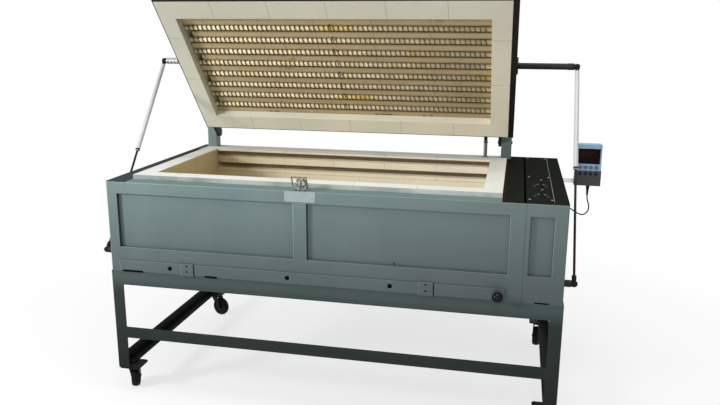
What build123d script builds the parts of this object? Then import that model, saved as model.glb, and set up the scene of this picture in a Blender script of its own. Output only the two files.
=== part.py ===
from build123d import *
import math
import os

# A large top-loading glass fusing kiln on a wheeled steel stand, lid open.
# Millimetres. While it is modelled, X runs right from the left steel face, Y runs back
# from the front steel face and Z runs up from the floor. The last step centres X and Y.

# Brick lining
brick_w = 1574.0          # outside width of the brick walls
brick_d = 808.0           # outside depth of the brick walls
brick_t = 76.0            # wall thickness
rim_proud = 19.0          # brick standing above the steel top
brick_len = 262.0         # length of one wall brick
brick_course = 114.0      # height of one wall course
score = 1.2               # depth of the joint lines between bricks

# Steel body
side_margin = 93.0        # steel face to brick, left and right
front_margin = 63.0
back_margin = 170.0
control_w = 158.0         # control compartment at the right
body_h = 402.0
frame_t = 15.0            # how far the frames stand in front of their panels
skin_t = 3.0              # folded steel of the frames
sheet_t = 1.5
plate_t = 3.0             # dark plates round the top
stile_w = 46.0
mid_stile_w = 58.0
top_rail_h = 53.0
bottom_rail_h = 111.0
panel_lap = 12.0          # panel overlapping the frame behind its opening
box_panel_lap = 6.0
left_panel_less = 18.0    # middle stile left of the middle, and the control front's left stile
slit_h = 4.0
slits = ((45.0, 156.0), (432.0, 491.0))     # along the foot of the front
box_slit = (102.0, 56.0)  # the same in the control front, from its right edge

# Stand and casters
angle_w = 51.0            # two-inch angle iron
rail_w = 64.0             # heavier angle under the body
angle_t = 5.0
stand_over = 5.0          # stand standing outside the body at each side
low_rail_z = 275.0
caster_h = 127.0          # overall height of a caster
leg_h = 400.0
caster_plate = 95.0
caster_plate_t = 6.0
wheel_r = 50.0
wheel_w = 32.0
wheel_trail = 34.0
axle_r = 5.0
kingpin_r = 6.0
trail_angles = {"front_left": 112.0, "front_right": 70.0, "rear_left": -22.0, "rear_right": -100.0}

# Floor of the chamber
pan_t = 2.0
floor_rise = 14.0         # floor brick standing above the bottom of the body

# Lid
lid_open = 49.7           # opening angle, degrees
lid_band = 26.0           # steel edge at the front and right of the lid brick
lid_edge = 4.0            # thin steel edge at its left and back
lid_h = 120.0
lid_recess = 42.0         # lid slab set back behind its brick rim
lid_reach = 12.0          # lid brick standing forward of the wall under it
lid_rim_front = 95.0      # widths of the lid's brick rim
lid_rim_back = 87.0
lid_rim_left = 76.0
lid_rim_right = 84.0
lid_skin = 3.0
seat_gap = 1.0            # lid brick above body brick when shut
hinge_up = 81.0           # hinge line above the steel top
hinge_back = 109.0        # hinge line behind the brick
post_w = 51.0
post_wall = 4.0
post_inset = 17.0         # centre of a post outside the end of the brick
hinge_pin_r = 8.0
pin_end = 4.0             # pin standing out of what it goes through
lug_t = 14.0
lug_r = 22.0

# Heating elements
lid_coil_r = 16.0
lid_tube_r = 9.8          # ceramic tube inside a lid coil
lid_groove_clear = 3.0
lid_groove_centre = 12.0  # coil centre behind the slab's face
element_rows = 8
row_front = 88.4          # first lid row behind the front rim
row_back = 48.4           # last lid row in front of the back rim
link_r = 2.2              # rod that joins the two rows of a lid element
tube_seat = 12.0          # tube end held in the rim brick
wall_coil_r = 12.0
groove_clear = 2.0
groove_centre = 9.0       # coil centre behind the wall's face
wall_row_drops = (23.0, 83.0)
element_end = 14.0        # plain end of a row from the brick corner
tail_r = 3.5
wire_r = 1.8
lid_curls = 12            # turns of wire in one lid row
tail_drop = 7.0           # a wall element's tail below its coil's centre
tail_out = 18.0           # tail standing into the control compartment

# Thermocouple and mains entry
couple_r = 6.0
couple_reach = 40.0       # sheath standing into the chamber
couple_rise = 0.62        # its height as a share of the chamber's
couple_neck = 20.0        # sheath in the control compartment, before its head
couple_head = 28.0
gland_r = 16.0
gland_in = 20.0
gland_out = 26.0
gland_nut = 9.0
gland_up = 40.0
cable_r = 9.0

# Inside and back of the control compartment
louvres = 6
louvre_rise = 70.0
louvre_pitch = 16.0
louvre_h = 5.0
louvre_in = 35.0
contactor_y = (620.0, 740.0)
contactor_w = 68.0
contactor_d = 80.0
contactor_h = 85.0
contactor_rise = 150.0    # above the bottom of the body
contactor_step = 22.0     # depth of the steps at its top and bottom
contactor_ledge = 21.0
terminals = 10
terminal_pitch = 21.4
terminal_d = 42.0
terminal_h = 30.0
terminal_rise = 70.0
terminal_slot = 12.0      # depth of a terminal's recess
terminal_wall = 6.0
terminal_first = 20.0     # end of the strip before the first contactor
switch_w = 44.0
switch_deep = 62.0
stem_up = 12.0

# Fits
fit = 0.08                # radial clearance of a running fit
seat = 0.3                # gap between moving faces

# Gas struts
strut_out = 38.0          # strut centre plane outside the body
strut_r = 10.0
strut_rod_r = 5.0
strut_tube_len = 518.0
lid_pin_forward = 394.0   # upper pivot forward of the back of the brick
lid_pin_up = 81.0         # upper pivot above the lid's brick face
low_pin_back = 33.0       # lower pivot behind the front steel face
low_pin_drop = 319.0      # lower pivot below the steel top
strut_pin_r = 5.0
eye_r = 11.0
arm_r = 14.0

# Vent slide at the foot of the front
bar_h = 50.0
bar_t = 5.0
bar_left = 39.0
bar_len = 1658.0
bar_rise = 3.0
vent_x = (278.0, 806.0, 1240.0)
vent_r = 10.0
vent_travel = 64.0
port_r = 9.0
strap_x = (357.0, 1385.0)
strap_w = 60.0
strap_t = 3.0
lug_x = 600.0             # stop lug behind the bar
lug_half = 5.0
knob_r = 22.0
knob_inset = 28.0
knob_out = 38.0

# Conduit for the lid's wiring
conduit_in = 110.0        # in from the right end of the brick
conduit_r = 9.0
conduit_drop = 30.0       # length below the top

# Wiring cover on the lid, ending in a box and a spout in front of the conduit
duct_w = 76.0
duct_h = 30.0
duct_wall = 2.0
duct_roof = 10.0
duct_edge = 8.0           # slope of its upper edges
duct_front = 50.0         # behind the lid's front
duct_box = 28.0           # box out behind the lid
duct_drop = 26.0          # box below the hinge line
duct_nut = 12.0
spout_short = 16.0        # end of the spout before the hinge line

# Pull handle and the feet of the strut arms
handle_len = 560.0
handle_feet = 480.0       # between its two posts
handle_out = 44.0         # bar forward of the lid
handle_up = 88.0          # bar above the lid's brick face
handle_r = 11.0
handle_post_r = 9.0
handle_pad = 44.0
handle_pad_t = 4.0
handle_weld = 0.5         # posts set into the bar
arm_foot_w = 60.0
arm_foot_h = 48.0
arm_foot_t = 6.0

# Latch
latch_w = 54.0
latch_h = 34.0
latch_y = 8.0
lever_w = 40.0
lever_len = 31.0
lever_up = 19.0           # lever pin above the top
lever_swing = 80.0        # swing of the lever to its locked place
knuckle_r = 5.0
bail_w = 66.0
bail_len = 50.0
bail_r = 2.5
bail_lean = 22.0          # forward lean of the resting bail
throw = 12.0              # bail pin from the lever pin
throw_angle = 110.0       # bail pin's direction, forward from the lever

# Controller and its lead
pad_w = 106.0
pad_h = 180.0
pad_d = 38.0
pad_front = 508.0         # front of the controller behind the front steel face
pad_out = 50.0            # left edge outside the control compartment
pad_drop = 24.0           # lower edge below the steel top
cradle_t = 2.0
cradle_front_h = 40.0
button_r = 8.0
button_proud = 3.0
button_travel = 1.5
button_pitch = 22.3
button_rows_up = (79.0, 51.0)
cord_d = 5.5
plug_r = 6.8
plug_in = 58.5            # plug from the left edge of the controller

# Selectors on the control compartment
knob_skirt_r = 20.0
knob_h = 26.0
selector_y = (112.0, 302.0)
dial_r = 32.0
dial_t = 1.5
selector_in = 57.0        # selectors from the left of the control compartment
switch_stem_r = 4.0
cover_left = 2.0          # cover plate in from the edges of the control top
cover_right = 54.0
cover_front = 32.0
cover_back = 42.0
cover_lap = 18.0          # cover resting on the plate round its opening

# Working heights and planes that follow from the sizes above
leg_bottom = caster_h
rail_bottom = leg_bottom + leg_h
body_bottom = rail_bottom + rail_w
deck = body_bottom + body_h
rim_top = deck + rim_proud
floor_top = body_bottom + floor_rise
kiln_w = 2 * side_margin + brick_w
body_w = kiln_w + control_w
body_d = front_margin + brick_d + back_margin
bx0 = side_margin
bx1 = side_margin + brick_w
by0 = front_margin
by1 = front_margin + brick_d
conduit_x = bx1 - conduit_in
lid_face = rim_top + seat_gap
hinge_y = by1 + hinge_back
hinge_z = deck + hinge_up
frame_top = deck - plate_t
plate_top = deck + plate_t
hinge_axis = Axis((0, hinge_y, hinge_z), (1, 0, 0))
mid_x = (bx0 + bx1) / 2

pieces = {}


def block(xs, ys, zs):
    """Box between the low and high values given for each axis."""
    size = [hi - lo for lo, hi in (xs, ys, zs)]
    return Pos(xs[0], ys[0], zs[0]) * Box(*size, align=(Align.MIN, Align.MIN, Align.MIN))


def rod(start, end, radius):
    """Round bar from one point to another."""
    run = Vector(*end) - Vector(*start)
    plane = Plane(origin=start, z_dir=run)
    return plane * Cylinder(radius, run.length, align=(Align.CENTER, Align.CENTER, Align.MIN))


def beyond_leg(low, high, side):
    """What is left of a span past the angle iron's leg on its low or high side."""
    if side == "low":
        return (low + angle_t, high + 1)
    return (low - 1, high - angle_t)


def angle_iron(xs, ys, zs, upright, flat):
    """Angle section: one leg upright on a side of the box, the other below or on another side."""
    spans = {"x": xs, "y": ys}
    cut = {}
    axis, side = upright
    other = "y" if axis == "x" else "x"
    cut[axis] = beyond_leg(*spans[axis], side)
    if flat == "below":
        cut[other] = (spans[other][0] - 1, spans[other][1] + 1)
        heights = (zs[0] + angle_t, zs[1] + 1)
    else:
        cut[other] = beyond_leg(*spans[other], flat[1])
        heights = (zs[0] - 1, zs[1] + 1)
    return block(xs, ys, zs) - block(cut["x"], cut["y"], heights)


def folded_frame(length, height, windows):
    """Frame of folded sheet lying in XZ, face at Y = 0 and hollow behind, with panel openings."""
    lattice = Pos(length / 2, height / 2) * Rectangle(length, height)
    hollow = Pos(length / 2, height / 2) * Rectangle(length - 2 * skin_t, height - 2 * skin_t)
    for x0, x1, z0, z1 in windows:
        middle = Pos((x0 + x1) / 2, (z0 + z1) / 2)
        lattice -= middle * Rectangle(x1 - x0, z1 - z0)
        hollow -= middle * Rectangle(x1 - x0 + 2 * skin_t, z1 - z0 + 2 * skin_t)
    upright = Plane.XZ
    shell = extrude(upright * lattice, -frame_t)
    core = extrude(upright * hollow, -frame_t)
    return shell - Pos(0, skin_t, 0) * core


def panel_behind(window, lap=panel_lap):
    """Sheet just behind a frame, lapping its opening."""
    x0, x1, z0, z1 = window
    return block((x0 - lap, x1 + lap), (frame_t, frame_t + sheet_t), (z0 - lap, z1 + lap))


def front_windows():
    """Three recessed panels of the front, in the frame's own X and Z."""
    top = frame_top - body_bottom - top_rail_h + plate_t
    split = mid_x - mid_stile_w / 2 - left_panel_less
    return [
        (stile_w, split, bottom_rail_h, top),
        (split + mid_stile_w, kiln_w - mid_stile_w, bottom_rail_h, top),
        (kiln_w + left_panel_less, body_w - stile_w - 4, bottom_rail_h, top),
    ]


def side_windows(length):
    top = frame_top - body_bottom - top_rail_h + plate_t
    half = length / 2
    return [
        (stile_w, half - mid_stile_w / 2, bottom_rail_h, top),
        (half + mid_stile_w / 2, length - stile_w, bottom_rail_h, top),
    ]


def turned_to_left(shape):
    """A frame built facing -Y, turned to face -X with its start at the back."""
    return Pos(0, body_d - frame_t, body_bottom) * Rot(0, 0, -90) * shape


def turned_to_right(shape):
    """The same, facing +X with its start at the front."""
    return Pos(body_w, frame_t, body_bottom) * Rot(0, 0, 90) * shape


def turned_to_back(shape, right_end):
    return Pos(right_end, body_d, body_bottom) * Rot(0, 0, 180) * shape


def vent_ports(y0, y1, radius):
    centre_z = body_bottom + bar_rise + bar_h / 2
    return [rod((x + vent_travel, y0, centre_z), (x + vent_travel, y1, centre_z), radius) for x in vent_x]


def casing():
    """Folded steel frames, the sheets behind them and the plates round the top."""
    height = frame_top - body_bottom
    windows = front_windows()
    kiln_front = folded_frame(kiln_w, height, windows[:2])
    box_window = [(windows[2][0] - kiln_w, windows[2][1] - kiln_w, windows[2][2], windows[2][3])]
    box_front = Pos(kiln_w, 0, 0) * folded_frame(control_w, height, box_window)
    for x0, x1 in slits:
        kiln_front -= block((x0, x1), (-1, skin_t + 1), (-1, slit_h))
    box_front -= block((body_w - box_slit[0], body_w - box_slit[1]), (-1, skin_t + 1), (-1, slit_h))
    centre = bar_rise + bar_h / 2
    wide = lug_half + 1
    slot = block((lug_x - wide, lug_x + wide + vent_travel), (-1, skin_t + 1), (centre - wide, centre + wide))
    kiln_front = Pos(0, 0, body_bottom) * (kiln_front - slot)
    for port in vent_ports(-1, frame_t + 1, port_r):
        kiln_front -= port
    side_len = body_d - 2 * frame_t
    left = turned_to_left(folded_frame(side_len, height, side_windows(side_len)))
    right = turned_to_right(folded_frame(side_len, height, side_windows(side_len)))
    back = turned_to_back(folded_frame(kiln_w, height, side_windows(kiln_w)), kiln_w)
    pieces["casing_frames"] = [kiln_front, Pos(0, 0, body_bottom) * box_front, left, right, back]

    sheets = [Pos(0, 0, body_bottom) * panel_behind(w) for w in windows[:2]]
    sheets.append(Pos(0, 0, body_bottom) * panel_behind(windows[2], lap=box_panel_lap))
    sheets += [turned_to_left(panel_behind(w)) for w in side_windows(side_len)]
    sheets += [turned_to_right(panel_behind(w)) for w in side_windows(side_len)]
    sheets += [turned_to_back(panel_behind(w), kiln_w) for w in side_windows(kiln_w)]
    partition = block((kiln_w - sheet_t, kiln_w), (frame_t, body_d - frame_t), (body_bottom, frame_top))
    for y, z in tail_places():
        partition -= rod((kiln_w - 5, y, z), (kiln_w + 5, y, z), tail_r + 3)
    partition -= rod((kiln_w - 5, *couple_place()), (kiln_w + 5, *couple_place()), couple_r + 1)
    sheets.append(partition)
    sheets.append(floor_pan())
    pieces["casing_panels"] = sheets


def couple_place():
    """Y and Z of the thermocouple in the right wall."""
    return (mid_y(), floor_top + couple_rise * (rim_top - floor_top))


def floor_pan():
    z0 = rail_bottom + angle_t
    return block((angle_t, kiln_w - angle_t), (angle_t + 1, body_d - angle_t - 1), (z0, z0 + pan_t))


def top_plates():
    """Dark plates between the casing and the brick, the control top and its screwed cover."""
    low, high = frame_top, deck
    front = block((0, kiln_w), (0, by0 - seat), (low, high))
    back = block((0, kiln_w), (by1 + seat, body_d), (low, high))
    left = block((0, bx0 - seat), (by0 - seat, by1 + seat), (low, high))
    right = block((bx1 + seat, kiln_w), (by0 - seat, by1 + seat), (low, high))
    box = block((kiln_w, body_w), (0, body_d), (low, high))
    cover_x = (kiln_w + cover_left, body_w - cover_right)
    cover_y = (cover_front, body_d - cover_back)
    opening = [(lo + cover_lap, hi - cover_lap) for lo, hi in (cover_x, cover_y)]
    box -= block(*opening, (low - 1, high + 1))
    cover = block(cover_x, cover_y, (deck, plate_top))
    cover = chamfer(cover.edges().filter_by(Axis.Y).group_by(Axis.Z)[-1], 1.0)
    for y in selector_y:
        cover -= rod((selector_x(), y, low - 1), (selector_x(), y, plate_top + 1), switch_stem_r + 2)
    back -= rod((conduit_x, hinge_y, low - 1), (conduit_x, hinge_y, high + 1), conduit_r + 1)
    pieces["top_plates"] = [front, back, left, right, box, cover]


def selector_x():
    return kiln_w + selector_in


def coil_groove(start, end, inward, radius, centre):
    """Round-bottomed groove for a coil, open on the side named by the inward direction."""
    throat = Vector(*inward) * (centre + 2)
    run = Vector(*end) - Vector(*start)
    bed = rod(start, end, radius)
    mid = (Vector(*start) + Vector(*end)) / 2 + throat / 2
    across = Vector(*inward).cross(run.normalized())
    plane = Plane(origin=mid, x_dir=run.normalized(), z_dir=across)
    mouth = plane * Box(run.length, throat.length, 2 * radius)
    return bed + mouth


def wall_joints(xs, ys, zs, along, face):
    """Thin scored lines of a running bond on the inner face of a wall."""
    lines = []
    height = zs[1] - zs[0]
    courses = math.ceil(height / brick_course)
    lo, hi = (xs if along == "x" else ys)
    for course in range(courses):
        top = zs[1] - course * brick_course
        bottom = max(zs[0], top - brick_course)
        shift = brick_len / 2 if course % 2 else 0
        place = hi - shift - brick_len
        while place > lo + 10:
            lines.append((place, bottom, top))
            place -= brick_len
    cuts = []
    w = score / 2
    for place, bottom, top in lines:
        if along == "x":
            cuts.append(block((place - w, place + w), (face - score, face + score), (bottom, top)))
        else:
            cuts.append(block((face - score, face + score), (place - w, place + w), (bottom, top)))
    for course in range(1, courses):
        z = zs[1] - course * brick_course
        if along == "x":
            cuts.append(block((lo, hi), (face - score, face + score), (z - w, z + w)))
        else:
            cuts.append(block((face - score, face + score), (lo, hi), (z - w, z + w)))
    return cuts


def rim_joints(lo, hi, cross, z, along):
    """Joint lines across the top of a wall, one brick apart."""
    cuts = []
    w = score / 2
    place = hi - brick_len
    while place > lo + 10:
        if along == "x":
            cuts.append(block((place - w, place + w), cross, (z - score, z + score)))
        else:
            cuts.append(block(cross, (place - w, place + w), (z - score, z + score)))
        place -= brick_len
    return cuts


def wall_rows():
    """Z of the element rows in the front and back walls."""
    return [rim_top - drop for drop in wall_row_drops]


def tail_places():
    """Y and Z where the wall elements leave through the right wall, low on their coils."""
    inner_front = by0 + brick_t - groove_centre
    inner_back = by1 - brick_t + groove_centre
    return [(y, z - tail_drop) for y in (inner_front, inner_back) for z in wall_rows()]


def brickwork():
    """Four brick walls with element grooves and vent ports, and the floor bricks."""
    ix0, ix1 = bx0 + brick_t, bx1 - brick_t
    iy0, iy1 = by0 + brick_t, by1 - brick_t
    zs = (floor_top, rim_top)
    front = block((bx0, bx1), (by0, iy0), zs)
    back = block((bx0, bx1), (iy1, by1), zs)
    left = block((bx0, ix0), (iy0, iy1), zs)
    right = block((ix1, bx1), (iy0, iy1), zs)
    for y, inward in ((iy0 - groove_centre, (0, 1, 0)), (iy1 + groove_centre, (0, -1, 0))):
        wall = "front" if y < mid_y() else "back"
        radius = wall_coil_r + groove_clear
        cutters = [coil_groove((ix0, y, z), (ix1, y, z), inward, radius, groove_centre) for z in wall_rows()]
        link_z = sorted(wall_rows())
        deep = tail_r + 1
        ys = (y - deep, iy0 + 1) if wall == "front" else (iy1 - 1, y + deep)
        cutters.append(block((ix0, ix0 + 2 * element_end), ys, link_z))
        if wall == "front":
            front -= cutters
        else:
            back -= cutters
    front -= wall_joints((ix0, ix1), (by0, iy0), zs, "x", iy0)
    back -= wall_joints((ix0, ix1), (iy1, by1), zs, "x", iy1)
    left -= wall_joints((bx0, ix0), (iy0, iy1), zs, "y", ix0)
    right -= wall_joints((ix1, bx1), (iy0, iy1), zs, "y", ix1)
    front -= rim_joints(ix0, ix1, (by0, iy0), rim_top, "x")
    back -= rim_joints(ix0, ix1, (iy1, by1), rim_top, "x")
    left -= rim_joints(iy0, iy1, (bx0, ix0), rim_top, "y")
    right -= rim_joints(iy0, iy1, (ix1, bx1), rim_top, "y")
    front -= vent_ports(by0 - 1, iy0 + 1, port_r)
    for y, z in tail_places():
        hole = rod((ix1 - 1, y, z), (bx1 + 1, y, z), tail_r + 1)
        front -= hole
        back -= hole
    y, z = couple_place()
    right -= rod((ix1 - 1, y, z), (bx1 + 1, y, z), couple_r + 0.5)
    pieces["wall_bricks"] = [front, back, left, right]
    floor = block((bx0, bx1), (by0, by1), (rail_bottom + angle_t + pan_t, floor_top))
    floor -= rim_joints(ix0, ix1, (iy0, iy1), floor_top, "x")
    floor -= [block((ix0, ix1), (y - score / 2, y + score / 2), (floor_top - score, floor_top + 1))
              for y in (iy0 + (iy1 - iy0) / 3, iy0 + 2 * (iy1 - iy0) / 3)]
    pieces["floor_bricks"] = [floor]


def mid_y():
    return (by0 + by1) / 2


def insulation():
    """Fibre blanket between the brick and the steel."""
    inner = frame_t + sheet_t + 0.5
    zs = (floor_pan_top() + 0.5, frame_top - 0.5)
    front = block((bx0, bx1), (inner, by0 - 0.5), zs)
    front -= vent_ports(0, by0 + 1, port_r)
    back = block((bx0, bx1), (by1 + 0.5, body_d - inner), zs)
    back -= rod((conduit_x, hinge_y, deck - conduit_drop - 1), (conduit_x, hinge_y, deck), conduit_r + 1)
    left = block((inner, bx0 - 0.5), (inner, body_d - inner), zs)
    right = block((bx1 + 0.5, kiln_w - sheet_t - 0.5), (inner, body_d - inner), zs)
    for y, z in tail_places():
        right -= rod((bx1, y, z), (kiln_w, y, z), tail_r + 1)
    right -= rod((bx1, *couple_place()), (kiln_w, *couple_place()), couple_r + 1)
    pieces["wall_insulation"] = [front, back, left, right]


def floor_pan_top():
    return rail_bottom + angle_t + pan_t


def wall_elements():
    """A hairpin element in each long wall, as the bars that its coils fill, and the thermocouple."""
    ix0, ix1 = bx0 + brick_t, bx1 - brick_t
    rows = []
    low, high = sorted(wall_rows())
    for y in sorted({y for y, z in tail_places()}):
        hairpin = None
        for z in (low, high):
            tail_z = z - tail_drop
            run = rod((ix0 + element_end, y, z), (ix1 - element_end, y, z), wall_coil_r)
            run += rod((ix1 - element_end - 1, y, tail_z), (kiln_w + tail_out, y, tail_z), tail_r)
            hairpin = run if hairpin is None else hairpin + run
        x = ix0 + element_end + 2 * tail_r
        hairpin += rod((x, y, low), (x, y, high), tail_r)
        rows.append(hairpin)
    pieces["wall_elements"] = rows
    y, z = couple_place()
    neck = kiln_w + couple_neck
    sheath = rod((ix1 - couple_reach, y, z), (neck, y, z), couple_r)
    head = rod((neck, y, z), (neck + couple_head, y, z), 3 * couple_r)
    pieces["thermocouple"] = [sheath + head]


def control_compartment():
    """Floor and slotted back of the control compartment, with the mains gland."""
    x0 = kiln_w
    x1 = body_w - frame_t - sheet_t
    back_y = body_d - 2 * sheet_t
    base = block((x0, x1), (frame_t + sheet_t, back_y), (body_bottom, body_bottom + sheet_t))
    back = block((x0, body_w), (back_y, body_d), (body_bottom, frame_top))
    for k in range(louvres):
        z = body_bottom + louvre_rise + louvre_pitch * k
        back -= block((x0 + louvre_in, body_w - louvre_in), (back_y - 1, body_d + 1), (z, z + louvre_h))
    gx, gz = gland_place()
    back -= rod((gx, back_y - 1, gz), (gx, body_d + 1, gz), gland_r)
    pieces["control_shell"] = [base, back]

    nut = Plane(origin=(gx, body_d, gz), z_dir=(0, 1, 0)) * extrude(RegularPolygon(gland_r + 6, 6), gland_nut)
    neck = rod((gx, body_d - gland_in, gz), (gx, body_d + gland_out, gz), gland_r - 0.1)
    bore = rod((gx, body_d - gland_in - 1, gz), (gx, body_d + gland_out + 1, gz), cable_r)
    pieces["entry_glands"] = [neck + nut - bore]


def switch_gear():
    """Two contactors and the terminal strip on the inner wall of the control compartment."""
    x0 = kiln_w
    gear = []
    low = body_bottom + contactor_rise
    high = low + contactor_h
    for y in contactor_y:
        ys = (y, y + contactor_w)
        past = (y - 1, y + contactor_w + 1)
        body = block((x0, x0 + contactor_d), ys, (low, high))
        outer = (x0 + contactor_d - contactor_step, x0 + contactor_d + 1)
        body -= block(outer, past, (high - contactor_ledge, high + 1))
        body -= block(outer, past, (low - 1, low + contactor_ledge))
        gear.append(body)
    y0 = contactor_y[0] - terminal_first
    y1 = y0 + terminals * terminal_pitch + terminal_wall
    z0 = body_bottom + terminal_rise
    strip = block((x0, x0 + terminal_d), (y0, y1), (z0, z0 + terminal_h))
    outer = (x0 + terminal_d - terminal_slot, x0 + terminal_d + 1)
    inner_z = (z0 + terminal_wall, z0 + terminal_h - terminal_wall)
    for k in range(terminals):
        y = y0 + terminal_wall + terminal_pitch * k
        strip -= block(outer, (y, y + terminal_pitch - terminal_wall), inner_z)
    pieces["switch_gear"] = [*gear, strip]


def selectors():
    """Rotary switches under the control top, with their dials and knobs above it."""
    switches = []
    x = selector_x()
    half = switch_w / 2
    for name, y in zip(("front", "rear"), selector_y):
        dial = rod((x, y, plate_top), (x, y, plate_top + dial_t), dial_r)
        dial = chamfer(dial.edges().group_by(Axis.Z)[-1], 0.8)
        stem = rod((x, y, deck - switch_w), (x, y, plate_top + dial_t + stem_up), switch_stem_r)
        body = block((x - half, x + half), (y - half, y + half), (deck - switch_deep, frame_top - 2))
        neck = rod((x, y, frame_top - 3), (x, y, plate_top), switch_stem_r + 1.8)
        switches.append(dial + neck + stem + body)
        pieces[f"selector_knob_{name}"] = [selector_knob(x, y)]
    pieces["selector_switches"] = switches


def gland_place():
    return (kiln_w + control_w / 2, body_bottom + gland_up)


def selector_knob(x, y):
    """Skirted knob with a tapered finger bar."""
    z0 = plate_top + dial_t + seat
    skirt = rod((x, y, z0), (x, y, z0 + 6), knob_skirt_r)
    skirt = chamfer(skirt.edges().group_by(Axis.Z)[-1], 2.5)
    foot = Pos(x, y, z0 + 5) * Rectangle(16, 2 * knob_skirt_r - 4)
    head = Pos(x, y, z0 + knob_h) * Rectangle(8, 2 * knob_skirt_r - 12)
    grip = loft([foot.faces()[0], head.faces()[0]])
    grip = fillet(grip.edges().group_by(Axis.Z)[-1], 2.0)
    knob = skirt + grip
    return knob - rod((x, y, z0 - 1), (x, y, plate_top + dial_t + stem_up + 1), switch_stem_r + fit)


def vent_slide():
    """Flat bar with three holes in two guide straps, its stop lug and its ball knob."""
    z0 = body_bottom + bar_rise
    zc = z0 + bar_h / 2
    y0, y1 = -seat - bar_t, -seat
    bar = block((bar_left, bar_left + bar_len), (y0, y1), (z0, z0 + bar_h))
    bar = chamfer(bar.edges().filter_by(Axis.Y), 2.0)
    for x in vent_x:
        bar -= rod((x, y0 - 1, zc), (x, y1 + 1, zc), vent_r)
    half = lug_half
    bar += block((lug_x - half, lug_x + half), (y1 - 1, skin_t - 0.5), (zc - half, zc + half))
    knob_x = bar_left + bar_len - knob_inset
    bar -= rod((knob_x, y0 - 1, zc), (knob_x, y1 + 1, zc), 5.0)
    pieces["slide_bar"] = [bar]
    ball = Pos(knob_x, -knob_out, zc) * Sphere(knob_r)
    ball -= block((knob_x - 40, knob_x + 40), (-knob_out + knob_r - 3, 10), (zc - 40, zc + 40))
    stem = rod((knob_x, -knob_out + knob_r - 4, zc), (knob_x, y0, zc), 7.0)
    shank = rod((knob_x, y0 - 1, zc), (knob_x, y1, zc), 5.0)
    pieces["slide_knob"] = [ball + stem + shank]
    straps = []
    for x in strap_x:
        xs = (x - strap_w / 2, x + strap_w / 2)
        low, high = z0 - seat - strap_t, z0 + bar_h + seat + strap_t
        strap = block(xs, (y0 - seat - strap_t, 0), (low, high))
        strap -= block((xs[0] - 1, xs[1] + 1), (y0 - seat, 1), (low + strap_t, high - strap_t))
        straps.append(chamfer(strap.edges().filter_by(Axis.X).group_by(Axis.Y)[0], 1.0))
    pieces["slide_straps"] = straps


def stand():
    """Welded angle-iron stand."""
    x0, x1 = -stand_over, body_w + stand_over
    y0, y1 = 0.0, body_d
    zs = (rail_bottom, body_bottom)
    front = angle_iron((x0, x1), (y0, y0 + rail_w), zs, ("y", "low"), "below")
    back = angle_iron((x0, x1), (y1 - rail_w, y1), zs, ("y", "high"), "below")
    side_ys = (y0 + rail_w, y1 - rail_w)
    left = angle_iron((x0, x0 + rail_w), side_ys, zs, ("x", "low"), "below")
    right = angle_iron((x1 - rail_w, x1), side_ys, zs, ("x", "high"), "below")
    stubs = []
    for side in ("low", "high"):
        xs = (x0, x0 + angle_t) if side == "low" else (x1 - angle_t, x1)
        stubs.append(block(xs, (y0 + angle_t, y0 + rail_w), (rail_bottom + angle_t, body_bottom)))
        stubs.append(block(xs, (y1 - rail_w, y1 - angle_t), (rail_bottom + angle_t, body_bottom)))
    front = front + stubs[0] + stubs[2]
    back = back + stubs[1] + stubs[3]
    pieces["stand_top_frame"] = [front, back, left, right]
    legs = []
    zs = (leg_bottom, rail_bottom)
    for xs, xside in (((x0, x0 + angle_w), "low"), ((x1 - angle_w, x1), "high")):
        for ys, yside in (((y0, y0 + angle_w), "low"), ((y1 - angle_w, y1), "high")):
            legs.append(angle_iron(xs, ys, zs, ("x", xside), ("y", yside)))
    pieces["stand_legs"] = legs
    zs = (low_rail_z, low_rail_z + angle_w)
    low_front = angle_iron((x0 + angle_w, x1 - angle_w), (y0, y0 + angle_w), zs, ("y", "low"), "below")
    ys = (y0 + angle_w, y1 - angle_w)
    zs = (leg_bottom, leg_bottom + angle_w)
    low_left = angle_iron((x0, x0 + angle_w), ys, zs, ("x", "low"), "below")
    low_right = angle_iron((x1 - angle_w, x1), ys, zs, ("x", "high"), "below")
    pieces["stand_low_rails"] = [low_front, low_left, low_right]


def caster_places():
    """Swivel axis of each caster."""
    inset = caster_plate / 2
    left, right = -stand_over + inset, body_w + stand_over - inset
    front, rear = inset, body_d - inset
    return {"front_left": (left, front), "front_right": (right, front),
            "rear_left": (left, rear), "rear_right": (right, rear)}


def casters():
    """Plate, swivel fork and wheel of each caster."""
    plate_low = leg_bottom - caster_plate_t
    head_h = 14.0
    head_top = plate_low - seat
    head_low = head_top - head_h
    plates = []
    for place, (x, y) in caster_places().items():
        half = caster_plate / 2
        plate = block((x - half, x + half), (y - half, y + half), (plate_low, leg_bottom))
        plate = chamfer(plate.edges().filter_by(Axis.Z), 8.0)
        for dx in (-1, 1):
            for dy in (-1, 1):
                hole = (x + dx * (half - 13), y + dy * (half - 13))
                plate -= rod((*hole, plate_low - 1), (*hole, leg_bottom + 1), 4.5)
        pin = rod((x, y, head_low - 6), (x, y, plate_low), kingpin_r)
        nut = rod((x, y, head_low - 6), (x, y, head_low - seat), 10.0)
        plates.append(plate + pin + nut)
        turn = Pos(x, y, 0) * Rot(0, 0, trail_angles[place])
        pieces[f"caster_fork_{place}"] = [turn * caster_fork(head_low, head_top)]
        pieces[f"caster_wheel_{place}"] = [turn * caster_wheel()]
    pieces["caster_plates"] = plates


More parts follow.
